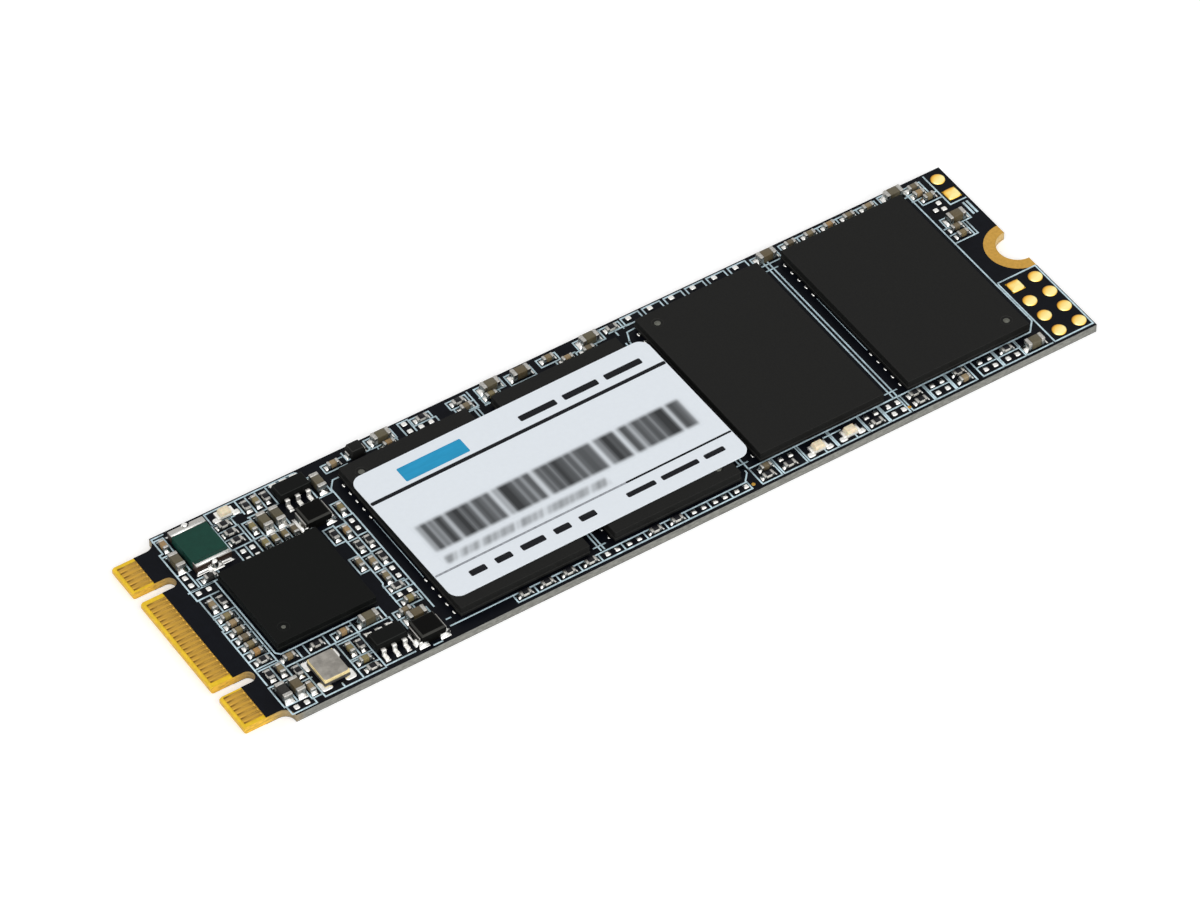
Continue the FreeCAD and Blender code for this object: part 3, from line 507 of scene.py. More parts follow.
def matt_polyester(tree, colours):
    # Matt-laminated white polyester: cool white with a very low sheen
    grained(
        tree, colours.label, grain=0.4, spread=0.008, relief=0.001,
        Roughness=0.5, IOR=1.5, Specular_IOR_Level=0.1,
    )


def label_ink(tree, colours):
    # Thermal-transfer black: flat and dense
    grained(
        tree, colours.ink, grain=0.2, spread=0.1, relief=0.001,
        Roughness=0.6, Specular_IOR_Level=0.1,
    )


def rubbed_ink(tree, colours):
    # The same black, rubbed thin: grey and patchy
    grained(
        tree, colours.faded_ink, grain=0.3, spread=0.2, relief=0.001,
        Roughness=0.6, Specular_IOR_Level=0.1,
    )


def blue_ink(tree, colours):
    # Screened process blue: flat, a little streaked by the squeegee
    grained(
        tree, colours.field, grain=0.5, spread=0.05, relief=0.001, stretch=(0.2, 1.0, 1.0),
        Roughness=0.5, Specular_IOR_Level=0.1,
    )


def smeared_print(tree, film, field, stripe, run, lean, dark, levels):
    """Film with rubbed-out print in a field of the label: soft stripes that fade at its border.

    Stripes have a width, a run and a lean. The darkest ink is a share of the film's colour."""
    left, right, low, high = field
    place = add_node(tree, "ShaderNodeTexCoord").outputs["Object"]
    flat = add_node(tree, "ShaderNodeMapping", {
        "Vector": place, "Location": LABEL_MIDDLE, "Rotation": (0, 0, LABEL_SKEW),
    }, vector_type="TEXTURE")
    drawn = add_node(tree, "ShaderNodeMapping", {
        "Vector": flat, "Rotation": (0, 0, lean), "Scale": (stripe * MM, run * MM, 1),
    }, vector_type="TEXTURE")
    noise = add_node(tree, "ShaderNodeTexNoise", {
        "Vector": drawn, "Scale": 1.0, "Detail": 1.0, "Roughness": 0.6,
    }, noise_dimensions="2D")
    strength = add_node(tree, "ShaderNodeValToRGB", {"Fac": noise}, [
        (level, shade(WHITE, ink)) for level, ink in levels
    ])
    axes = add_node(tree, "ShaderNodeSeparateXYZ", {"Vector": flat}).outputs
    for axis, start, end in (("X", left, right), ("Y", low, high)):
        half = (end - start) / 2
        away = add_node(tree, "ShaderNodeMath", {
            0: axes[axis], 1: (start + end) / 2 * MM,
        }, operation="SUBTRACT")
        far = add_node(tree, "ShaderNodeMath", {0: away}, operation="ABSOLUTE")
        fade = add_node(tree, "ShaderNodeMapRange", {
            "Value": far, "From Min": (half - SMEAR) * MM, "From Max": half * MM,
            "To Min": 1.0, "To Max": 0.0,
        }, interpolation_type="SMOOTHSTEP")
        strength = add_node(tree, "ShaderNodeMath", {0: strength, 1: fade}, operation="MULTIPLY")
    colour = add_node(tree, "ShaderNodeMixRGB", {
        "Fac": strength, "Color1": film, "Color2": shade(film, dark),
    })
    surfaced(tree, Base_Color=colour, Roughness=0.5, IOR=1.5, Specular_IOR_Level=0.1)


def rubbed_bars(tree, colours):
    # Thermal-transfer bars, smeared until they are soft: dark stripes of uneven width and strength
    smeared_print(
        tree, colours.label, BARS_FIELD, stripe=1.2, run=200, lean=0, dark=0.04,
        levels=((0.36, 0.99), (0.5, 0.88), (0.59, 0.6), (0.7, 0.15)),
    )


def rubbed_number(tree, colours):
    # A thermal-transfer number, smeared past reading: a faint grey line of soft leaning strokes
    smeared_print(
        tree, colours.label, NUMBER_FIELD, stripe=0.8, run=60, lean=math.radians(-25), dark=0.25,
        levels=((0.3, 0.85), (0.5, 0.6), (0.7, 0.2)),
    )


def legend_ink(tree, colours):
    # Screened epoxy ink: cool white, thin where the lacquer under it shows through
    grained(tree, colours.legend, grain=0.5, spread=0.2, relief=0.003, Roughness=0.55)


def finish(make):
    """The material that a finish function makes, made once and named after the function."""
    name = make.__name__
    if name not in bpy.data.materials:
        material = bpy.data.materials.new(name)
        material.use_nodes = True
        material.node_tree.nodes.clear()
        make(material.node_tree, bpy.context.scene.drive_colours)
    return bpy.data.materials[name]


# Shapes


def size(name):
    """One of the scene's own sizes, in millimetres."""
    return getattr(bpy.context.scene.drive_sizes, name) / MM


def cad_mesh(node):
    """A CAD node's mesh in millimetres, with its split corners joined."""
    shape = bmesh.new()
    shape.from_mesh(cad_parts[node].data)
    shape.transform(Matrix.Scale(1 / MM, 4))
    bmesh.ops.remove_doubles(shape, verts=shape.verts, dist=WELD)
    return shape


def solids_of(node):
    """The separate solids in a CAD node, sorted from the tongue's tip."""
    found = []
    shape = cad_mesh(node)
    waiting = set(shape.verts)
    while waiting:
        island = {waiting.pop()}
        border = list(island)
        while border:
            corner = border.pop()
            for edge in corner.link_edges:
                other = edge.other_vert(corner)
                if other not in island:
                    island.add(other)
                    border.append(other)
        waiting -= island
        axes = list(zip(*(vert.co for vert in island)))
        found.append(Solid(Vector(map(min, axes)), Vector(map(max, axes)), len(island)))
    shape.free()
    return sorted(found, key=lambda solid: tuple(solid.low))


def middle(solid):
    """Middle of a solid's box."""
    return (solid.low + solid.high) / 2


def piece(name, shape, make, slot, replaced=()):
    """Turn a mesh in millimetres into a piece that rides on the drive, with a finish; the slot is not
    used.
    """
    bmesh.ops.recalc_face_normals(shape, faces=shape.faces)
    shape.transform(Matrix.Scale(MM, 4))
    mesh = bpy.data.meshes.new(name)
    shape.to_mesh(mesh)
    shape.free()
    if not mesh.polygons:
        raise RuntimeError(f"{name} came out empty")
    mesh.materials.append(finish(make))
    mesh.shade_smooth()
    item = bpy.data.objects.new(name, mesh)
    bpy.context.scene.collection.objects.link(item)
    item.modifiers.new("flat_faces", "WEIGHTED_NORMAL").keep_sharp = True
    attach(item, BODY)
    if replaced:
        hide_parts(*replaced)
    return item


def refined(node, radius, make, slot, segments=2):
    """A copy of a CAD node with its sharp edges rounded, which stands for the node."""
    shape = cad_mesh(node)
    bmesh.ops.dissolve_limit(shape, angle_limit=FLAT, verts=shape.verts, edges=shape.edges)
    sharp = [edge for edge in shape.edges if edge.is_manifold and edge.calc_face_angle() > SHARP]
    bmesh.ops.bevel(
        shape, geom=sharp, offset=radius, offset_type="OFFSET", segments=segments, profile=0.5,
        affect="EDGES", clamp_overlap=True,
    )
    return piece(f"{node}_finished", shape, make, slot, [node])


def coat_cad(node, make):
    """Give a CAD node that stays as it is its finish."""
    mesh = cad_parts[node].data
    mesh.materials.clear()
    mesh.materials.append(finish(make))


def add_rings(shape, rings):
    """Join rings of points into a closed skin, with the first and last ring filled."""
    loops = [[shape.verts.new(point) for point in ring] for ring in rings]
    for lower, upper in zip(loops, loops[1:]):
        for step in range(len(lower)):
            following = (step + 1) % len(lower)
            shape.faces.new((lower[step], lower[following], upper[following], upper[step]))
    shape.faces.new(loops[0][::-1])
    shape.faces.new(loops[-1])


def add_prism(shape, outline, foot, height):
    """An upright prism on an outline of flat points."""
    add_rings(shape, [[(x, y, z) for x, y in outline] for z in (foot, foot + height)])


def add_block(shape, left, right, low, high, foot, height):
    """A box from its sides in X and Y, its foot and its height."""
    outline = ((left, low), (right, low), (right, high), (left, high))
    add_prism(shape, outline, foot, height)


# A corner of a ribbon reaches no further out than its half width over this
MITRE_LIMIT = 0.4


def add_ribbon(shape, points, width, foot, height):
    """A flat ribbon of ink along a run of points, mitred at its corners."""
    path = [Vector(point) for point in points]
    ways = [(after - before).normalized() for before, after in zip(path, path[1:])]
    rings = []
    for number, point in enumerate(path):
        before = ways[max(number - 1, 0)]
        after = ways[min(number, len(ways) - 1)]
        side = (before + after).normalized().orthogonal()
        reach = width / 2 / max(MITRE_LIMIT, side.dot(after.orthogonal()))
        right, left = point - side * reach, point + side * reach
        rings.append([(*right, foot), (*left, foot), (*left, foot + height), (*right, foot + height)])
    add_rings(shape, rings)


def rounded_ring(centre, z, half_x, half_y, squareness, sides):
    """Points of a flat ring, from an ellipse to nearly a rectangle as the squareness grows."""
    points = []
    for step in range(sides):
        turn = 2 * math.pi * (step + 0.5) / sides
        across, along = math.cos(turn), math.sin(turn)
        reach = (abs(across) ** squareness + abs(along) ** squareness) ** (-1 / squareness)
        points.append((centre.x + half_x * reach * across, centre.y + half_y * reach * along, z))
    return points


# Profile of a dome: shares of its outline and of its height
DOME = ((1.0, 0.0), (1.0, 0.3), (0.94, 0.52), (0.82, 0.74), (0.62, 0.9), (0.36, 0.98), (0.1, 1.0))


def add_dome(shape, solid, height, squareness, sides=24):
    """A low dome of metal with the outline of a solid's foot."""
    half = (solid.high - solid.low) / 2
    foot = solid.low.z
    add_rings(shape, [
        rounded_ring(
            middle(solid), foot + height * rise, half.x * share, half.y * share, squareness, sides,
        )
        for share, rise in DOME
    ])


# Profile of a solder fillet: shares of its reach and of its height
FILLET = ((0.0, 1.0), (0.08, 0.7), (0.2, 0.45), (0.4, 0.24), (0.68, 0.11), (1.0, 0.06))
# Its start inside the metal end, its flare towards the toe and the share of its width that is left on top
FILLET_SEAT = 0.03
FILLET_FLARE = 0.12
FILLET_CROWN = 0.9


def add_fillet(shape, foot, outward, width, height, reach):
    """A hollow wedge of solder that runs out from the foot of a metal end."""
    side = Vector((-outward.y, outward.x, 0))
    start = foot - outward * FILLET_SEAT
    rows = []
    for share, rise in FILLET:
        half = width / 2 * (1 + FILLET_FLARE * share)
        out = start + outward * (reach * share)
        up = Vector((0, 0, height * rise))
        rows.append([
            out - side * half, out - side * half * FILLET_CROWN + up,
            out + side * half * FILLET_CROWN + up, out + side * half,
        ])
    add_rings(shape, rows)


def nearest_way(solid, bodies):
    """Direction along X or Y from the nearest body to a metal end."""
    offset = min((middle(solid) - middle(body) for body in bodies), key=lambda step: step.length)
    if abs(offset.x) > abs(offset.y):
        return Vector((math.copysign(1, offset.x), 0, 0))
    return Vector((0, math.copysign(1, offset.y), 0))


def add_end_fillets(shape, ends, bodies, reach, share):
    """Solder fillets at the outer faces of a node's metal ends, up to a share of their height."""
    body_solids = solids_of(bodies)
    for end in solids_of(ends):
        outward = nearest_way(end, body_solids)
        spread = end.high - end.low
        width = spread.y if outward.x else spread.x
        depth = spread.x if outward.x else spread.y
        foot = middle(end) + outward * depth / 2
        foot.z = end.low.z
        add_fillet(shape, foot, outward, width, spread.z * share, reach)


# Operators


class DriveOperator:
    """What the drive's operators share."""

    bl_options = {"REGISTER", "UNDO"}


class DRIVE_OT_board(DriveOperator, bpy.types.Operator):
    """Finish the laminate, its lacquer and the lands round the screw notch"""

    bl_idname = "drive.board"
    bl_label = "Board"

    PLATING = 0.03
    ARC_STEPS = 32

    def execute(self, context):
        coat_cad("board_laminate", pressed_glass_epoxy)
        for side in ("top", "bottom"):
            coat_cad(f"solder_mask_{side}", black_lacquer)
            refined(f"mounting_land_{side}", LAND_EDGE, matt_gold, "gold_plating", 1)
        self.plated_notch()
        return {"FINISHED"}

    def plated_notch(self):
        """Gold down the wall of the screw notch, from one land to the other."""
        low, high = (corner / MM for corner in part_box("mounting_land_top"))
        centre = Vector((high.x, (low.y + high.y) / 2))
        land = cad_mesh("mounting_land_top")
        radius = min((vert.co.xy - centre).length for vert in land.verts)
        land.free()
        arc = [math.pi * (0.5 + step / self.ARC_STEPS) for step in range(self.ARC_STEPS + 1)]
        ways = [Vector((math.cos(turn), math.sin(turn))) for turn in arc]
        wall = [centre + way * radius for way in ways]
        wall += [centre + way * (radius - self.PLATING) for way in reversed(ways)]
        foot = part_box("mounting_land_bottom")[0].z / MM
        plating = bmesh.new()
        add_prism(plating, wall, foot, high.z - foot)
        piece("screw_notch_plating", plating, worn_gold, "gold_plating")


class DRIVE_OT_contacts(DriveOperator, bpy.types.Operator):
    """Make the gold fingers, their roots at the lacquer and the shaded gaps between them"""

    bl_idname = "drive.contacts"
    bl_label = "Contacts"

    # Width of the gaps between the fingers, and how much of a finger's height fills them
    GAP = 0.15
    GAP_SHARE = 0.96

    def execute(self, context):
        mask = MASK_EDGE / MM
        half = self.GAP / 2
        for side in ("top", "bottom"):
            node = f"edge_contacts_{side}"
            refined(node, FILM_EDGE, hard_gold, "gold_plating", 1)
            roots = bmesh.new()
            gaps = bmesh.new()
            gap_places = set()
            for low, high, _ in solids_of(node):
                add_block(roots, high.x, mask, low.y, high.y, low.z, high.z - low.z)
                gap_places.add(round(low.y - half, 3))
                gap_places.add(round(high.y + half, 3))
            rise = (high.z - low.z) * self.GAP_SHARE
            foot = low.z if side == "top" else high.z - rise
            for y in sorted(gap_places):
                add_block(gaps, low.x, mask, y - half, y + half, foot, rise)
            piece(f"finger_roots_{side}", roots, hard_gold, "gold_plating")
            piece(f"finger_gaps_{side}", gaps, shaded_laminate, "glass_epoxy")
        return {"FINISHED"}


class DRIVE_OT_pads(DriveOperator, bpy.types.Operator):
    """Make the domed gold pads of the header and the jumper"""

    bl_idname = "drive.pads"
    bl_label = "Gold pads"

    BOX_CORNERS = 8
    SIDES = 40

    def execute(self, context):
        for node in ("header_pads", "jumper_pads"):
            pads = bmesh.new()
            for solid in solids_of(node):
                squareness = ROUND if solid.corners > self.BOX_CORNERS else SQUARE
                add_dome(pads, solid, size("pad_dome"), squareness, self.SIDES)
            piece(f"{node}_domed", pads, highlit_gold, "gold_plating", [node])
        return {"FINISHED"}


class DRIVE_OT_lands(DriveOperator, bpy.types.Operator):
    """Make the solder left on the vacant lands"""

    bl_idname = "drive.lands"
    bl_label = "Vacant lands"

    # Columns of soldered test points at the left of each memory chip, with the foot of their two rows
    POINT_COLUMNS = (
        (19.77, 3.39, -8.74), (34.12, 3.39, -8.74), (48.47, 4.44, -7.72), (62.83, 4.44, -7.72),
    )
    POINT_COUNT = 5
    POINT_PITCH = 1.01
    POINT_HALF = Vector((0.15, 0.2, 0))
    POINT_HEIGHT = 0.1
    HOLE_HEIGHT = 0.03
    BEAD_SIDES = 14

    def execute(self, context):
        lands = bmesh.new()
        for solid in solids_of("vacant_lands"):
            add_dome(lands, solid, size("land_dome"), SQUARE)
        piece("vacant_lands_soldered", lands, reflowed_solder, "solder", ["vacant_lands"])
        points = bmesh.new()
        for x, *rows in self.POINT_COLUMNS:
            for row in rows:
                for number in range(self.POINT_COUNT):
                    place = (x, row + number * self.POINT_PITCH)
                    self.bead(points, place, self.POINT_HALF, self.POINT_HEIGHT)
        piece("test_points", points, reflowed_solder, "solder")
        holes = bmesh.new()
        for place in PLATED_HOLES:
            self.bead(holes, place, HOLE_HALF, self.HOLE_HEIGHT)
        piece("plated_holes", holes, matt_gold, "gold_plating")
        return {"FINISHED"}

    def bead(self, shape, place, half, height):
        """A dome of metal on the board."""
        centre = Vector((*place, BOARD_TOP))
        add_dome(shape, Solid(centre - half, centre + half, 0), height, ROUND, self.BEAD_SIDES)


class DRIVE_OT_chips(DriveOperator, bpy.types.Operator):
    """Make the moulded chips, their corner dots and the balls that they stand on"""

    bl_idname = "drive.chips"
    bl_label = "Chips"

    # Profile of a flattened ball: shares of its width and of its height
    BARREL = ((0.62, 0.0), (0.9, 0.2), (1.0, 0.5), (0.9, 0.8), (0.62, 1.0))
    BALL_SIDES = 10
    # Share of the dimple that the dot fills
    CONTROLLER_DOT = 0.36
    FLASH_DOT = 0.54
    DOT_SIDES = 20

    def execute(self, context):
        marks = bmesh.new()
        chips = [("controller_chip", "controller_solder_balls", fine_filled_epoxy, self.CONTROLLER_DOT)]
        for number in (1, 2, 3, 4):
            chips.append((
                f"flash_chip_{number}", f"flash_solder_balls_{number}", filled_epoxy, self.FLASH_DOT,
            ))
        for chip, balls, make, share in chips:
            refined(chip, size("chip_edge"), make, "moulding_compound")
            self.mark(marks, chip, share)
            self.balls(balls)
        piece("chip_corner_dots", marks, laser_mark, "moulding_compound")
        return {"FINISHED"}

    def mark(self, shape, chip, share):
        """A disc on the floor of the dimple in a chip's first corner."""
        solid = cad_mesh(chip)
        corners = [vert.co.copy() for vert in solid.verts]
        solid.free()
        top = max(corner.z for corner in corners)
        floor = max(corner.z for corner in corners if corner.z < top - WELD)
        dimple = [corner for corner in corners if abs(corner.z - floor) < WELD]
        centre = sum(dimple, Vector()) / len(dimple)
        radius = (dimple[0] - centre).length * share
        add_rings(shape, [
            rounded_ring(centre, z, radius, radius, ROUND, self.DOT_SIDES)
            for z in (floor, floor + size("print_height"))
        ])

    def balls(self, node):
        """Flattened balls in place of the plain prisms under one chip."""
        shape = bmesh.new()
        for solid in solids_of(node):
            half = (solid.high - solid.low) / 2
            add_rings(shape, [
                rounded_ring(
                    middle(solid), solid.low.z + 2 * half.z * rise, half.x * share, half.y * share,
                    ROUND, self.BALL_SIDES,
                )
                for share, rise in self.BARREL
            ])
        piece(f"{node}_rounded", shape, reflowed_solder, "solder", [node])


class DRIVE_OT_label(DriveOperator, bpy.types.Operator):
    """Make the label and its plain print"""

    bl_idname = "drive.label"
    bl_label = "Label"

    # Rules across the label, from its middle: half their length, then their place and thickness
    HALF_RULE = 14.0
    HEADER_RULE = (4.41, 0.36)
    FOOTER_RULE = (-4.83, 0.19)
    # Where the rubbed part of the lower rule ends
    RUBBED_END = 3.9
    BLUE_FIELD = (-10.3, -4.3, 4.95, 6.55)
    INK_CORNER = 0.08
    # Rows of plain bars where print would stand: start, foot, height, gap and the length of each bar
    ROWS = (
        (0.8, 5.35, 0.62, 0.7, (3.5, 3.3, 3.5)),
        (3.2, -6.3, 0.5, 0.6, (2.7, 3.5, 1.9)),
        (-11.6, -6.4, 0.62, 0.9, (1.5, 1.5, 2.2, 1.5, 1.5)),
    )

    def execute(self, context):
        refined("label", size("label_edge"), matt_polyester, "label_film")
        black = bmesh.new()
        wear_and_highlight = bmesh.new()
        for shape, left, right, (place, thickness) in (
            (black, -self.HALF_RULE, self.HALF_RULE, self.HEADER_RULE),
            (black, self.RUBBED_END, self.HALF_RULE, self.FOOTER_RULE),
            (wear_and_highlight, -self.HALF_RULE, self.RUBBED_END, self.FOOTER_RULE),
        ):
            self.block(shape, left, right, place - thickness / 2, thickness)
        self.lay("label_rubbed_rule", wear_and_highlight, rubbed_ink)
        for left, foot, height, gap, bars in self.ROWS:
            for bar in bars:
                self.block(black, left, left + bar, foot, height)
                left += bar + gap
        self.lay("label_print", black, label_ink)
        for name, (left, right, low, high), make in (
            ("label_colour_field", self.BLUE_FIELD, blue_ink),
            ("label_bars", BARS_FIELD, rubbed_bars),
            ("label_number", NUMBER_FIELD, rubbed_number),
        ):
            field = bmesh.new()
            self.block(field, left, right, low, high - low)
            self.lay(name, field, make)
        return {"FINISHED"}

    def block(self, shape, left, right, low, height):
        """A flat block of ink with slightly rounded corners, in the label's own places."""
        corner = min(self.INK_CORNER, height / 4)
        high = low + height
        outline = (
            (left + corner, low), (right - corner, low), (right, low + corner), (right, high - corner),
            (right - corner, high), (left + corner, high), (left, high - corner), (left, low + corner),
        )
        add_prism(shape, outline, 0, size("print_height"))

    def lay(self, name, shape, make):
        """Turn print onto the label."""
        turn = Matrix.Rotation(LABEL_SKEW, 4, "Z")
        place = LABEL_MIDDLE / MM
        place.z = LABEL_HIGH.z / MM
        shape.transform(Matrix.Translation(place) @ turn)
        piece(name, shape, make, "label_film")


class DRIVE_OT_capacitors(DriveOperator, bpy.types.Operator):
    """Make the ceramic capacitors and ferrite beads"""

    bl_idname = "drive.capacitors"
    bl_label = "Capacitors and beads"

    def execute(self, context):
        for kind, make, slot in (
            ("small_capacitor", tan_titanate, "capacitor_ceramic"),
            ("large_capacitor", olive_titanate, "capacitor_ceramic"),
            ("ferrite", sintered_ferrite, "ferrite"),
        ):
            refined(f"{kind}_bodies", size("ceramic_edge"), make, slot)
            refined(f"{kind}_terminals", size("metal_edge"), barrel_plated_tin, "tin_plating")
        return {"FINISHED"}


class DRIVE_OT_resistors(DriveOperator, bpy.types.Operator):
    """Make the thick-film resistors"""

    bl_idname = "drive.resistors"
    bl_label = "Resistors"

    def execute(self, context):
        refined("resistor_bodies", PLATE_EDGE, fired_alumina, "alumina", 1)
        refined("resistor_coats", FILM_EDGE, glass_overglaze, "resistor_glaze", 1)
        refined("resistor_terminals", size("ceramic_edge"), barrel_plated_tin, "tin_plating")
        return {"FINISHED"}


class DRIVE_OT_fuse(DriveOperator, bpy.types.Operator):
    """Make the green resettable fuse"""

    bl_idname = "drive.fuse"
    bl_label = "Fuse"

    # Films on top of the ends: their inset and thickness, the run of green and the band of solder
    INSET = 0.05
    FILM = 0.012
    COAT_RUN = 0.3
    BAND = 0.27
    # Solder in the round notch of each end: half its size
    PLUG = Vector((0.36, 0.36, 0))
    PLUG_SIDES = 20
    # Solder at the foot of each end
    FOOT_WIDTH = 1.3
    FOOT_SHARE = 0.6
    FOOT_REACH = 0.5

    def execute(self, context):
        refined("fuse_body", CASE_EDGE, green_epoxy, "fuse_coat")
        refined("fuse_terminals", END_EDGE, sawn_tin, "tin_plating")
        coat = bmesh.new()
        solder = bmesh.new()
        bodies = solids_of("fuse_body")
        for end in solids_of("fuse_terminals"):
            outward = nearest_way(end, bodies)
            is_near = outward.y < 0
            seam, face = (end.high.y, end.low.y) if is_near else (end.low.y, end.high.y)
            if is_near:
                self.film(coat, end, seam, seam - self.COAT_RUN)
                seam -= self.COAT_RUN
            self.film(solder, end, seam, seam + outward.y * self.BAND)
            foot = Vector((middle(end).x, face, end.low.z))
            height = end.high.z - end.low.z
            plug = Solid(foot - self.PLUG, foot + self.PLUG, 0)
            add_dome(solder, plug, height, ROUND, self.PLUG_SIDES)
            add_fillet(
                solder, foot, outward, self.FOOT_WIDTH, height * self.FOOT_SHARE, self.FOOT_REACH,
            )
        piece("fuse_coat_run", coat, green_epoxy, "fuse_coat")
        piece("fuse_solder", solder, reflowed_solder, "solder")
        return {"FINISHED"}

    def film(self, shape, end, start, stop):
        """A film across the top of an end, between two places in Y."""
        low, high = sorted((start, stop))
        add_block(
            shape, end.low.x + self.INSET, end.high.x - self.INSET, low, high, end.high.z, self.FILM,
        )


class DRIVE_OT_crystal(DriveOperator, bpy.types.Operator):
    """Make the quartz crystal in its ceramic case"""

    bl_idname = "drive.crystal"
    bl_label = "Crystal"

    PAD_SQUARENESS = 6

    def execute(self, context):
        refined("crystal_base", SOFT_EDGE, dark_alumina, "crystal_ceramic")
        refined("crystal_seal_ring", FRAME_EDGE, seal_gold, "gold_plating")
        refined("crystal_lid", END_EDGE, rolled_nickel, "nickel_lid")
        pads = bmesh.new()
        for solid in solids_of("crystal_pads"):
            add_dome(pads, solid, size("land_dome"), self.PAD_SQUARENESS)
        piece("crystal_pads_soldered", pads, reflowed_solder, "solder", ["crystal_pads"])
        return {"FINISHED"}


class DRIVE_OT_regulators(DriveOperator, bpy.types.Operator):
    """Make the six-lead regulators and the moulded diode"""

    bl_idname = "drive.regulators"
    bl_label = "Regulators and diode"

    def execute(self, context):
        for kind in ("upper_regulator", "lower_regulator"):
            refined(f"{kind}_body", CASE_EDGE, fine_filled_epoxy, "moulding_compound")
            refined(f"{kind}_leads", size("lead_bend"), dipped_tin, "tin_plating")
        refined("diode_body", CASE_EDGE, filled_epoxy, "moulding_compound")
        refined("diode_terminals", END_EDGE, barrel_plated_tin, "tin_plating")
        return {"FINISHED"}


class DRIVE_OT_inductors(DriveOperator, bpy.types.Operator):
    """Make the pressed power inductors"""

    bl_idname = "drive.inductors"
    bl_label = "Inductors"

    # Solder that has run round each end to the near side
    FOOT_WIDTH = 0.9
    FOOT_REACH = 0.28
    FOOT_SHARE = 0.75
    FOOT_INSET = 0.2

    def execute(self, context):
        feet = bmesh.new()
        for kind in ("upper_inductor", "lower_inductor"):
            refined(f"{kind}_body", CASE_EDGE, pressed_powder, "ferrite")
            refined(f"{kind}_terminals", END_EDGE, barrel_plated_tin, "tin_plating")
            bodies = solids_of(f"{kind}_body")
            for end in solids_of(f"{kind}_terminals"):
                foot = middle(end) - nearest_way(end, bodies) * self.FOOT_INSET
                foot.y = bodies[0].low.y
                foot.z = end.low.z
                height = (end.high.z - end.low.z) * self.FOOT_SHARE
                add_fillet(feet, foot, Vector((0, -1, 0)), self.FOOT_WIDTH, height, self.FOOT_REACH)
        piece("inductor_feet", feet, reflowed_solder, "solder")
        return {"FINISHED"}


class DRIVE_OT_leds(DriveOperator, bpy.types.Operator):
    """Make the light-emitting diodes"""

    bl_idname = "drive.leds"
    bl_label = "Light-emitting diodes"

    # Beads of solder at the ends: their reach beyond an end, and their sides from its near side
    BEAD_REACH = 0.42
    BEAD_LOW = -0.22
    BEAD_HIGH = 0.36
    BEAD_HEIGHT = 0.18
    BEAD_SQUARENESS = 4

    def execute(self, context):
        refined("led_bases", FRAME_EDGE, fired_alumina, "led_epoxy")
        refined("led_lenses", SOFT_EDGE, phosphor_epoxy, "led_epoxy", 3)
        refined("led_terminals", END_EDGE, dipped_tin, "tin_plating")
        beads = bmesh.new()
        bases = solids_of("led_bases")
        for end in solids_of("led_terminals"):
            reach = nearest_way(end, bases).x * self.BEAD_REACH
            low = end.low + Vector((min(reach, 0), self.BEAD_LOW, 0))
            high = Vector((end.high.x + max(reach, 0), end.low.y + self.BEAD_HIGH, end.high.z))
            add_dome(beads, Solid(low, high, 0), self.BEAD_HEIGHT, self.BEAD_SQUARENESS)
        piece("led_solder", beads, reflowed_solder, "solder")
        return {"FINISHED"}


class DRIVE_OT_solder(DriveOperator, bpy.types.Operator):
    """Make the solder fillets at the ends of every part"""

    bl_idname = "drive.solder"
    bl_label = "Solder joints"

    # Kind of part, its bodies and metal ends, reach against the usual one, and share of the end climbed
    JOINTS = (
        ("small_capacitor", "bodies", "terminals", 0.9, 0.75),
        ("large_capacitor", "bodies", "terminals", 1.1, 0.7),
        ("ferrite", "bodies", "terminals", 1.0, 0.7),
        ("resistor", "bodies", "terminals", 0.8, 0.85),
        ("fuse", "body", "terminals", 0.9, 0.3),
        ("upper_inductor", "body", "terminals", 1.2, 0.6),
        ("lower_inductor", "body", "terminals", 1.2, 0.6),
        ("diode", "body", "terminals", 0.5, 0.6),
        ("upper_regulator", "body", "leads", 0.6, 0.2),
        ("lower_regulator", "body", "leads", 0.6, 0.2),
    )

    def execute(self, context):
        joints = bmesh.new()
        for kind, bodies, ends, reach, share in self.JOINTS:
            add_end_fillets(
                joints, f"{kind}_{ends}", f"{kind}_{bodies}", size("fillet_reach") * reach, share,
            )
        piece("solder_joints", joints, reflowed_solder, "solder")
        return {"FINISHED"}


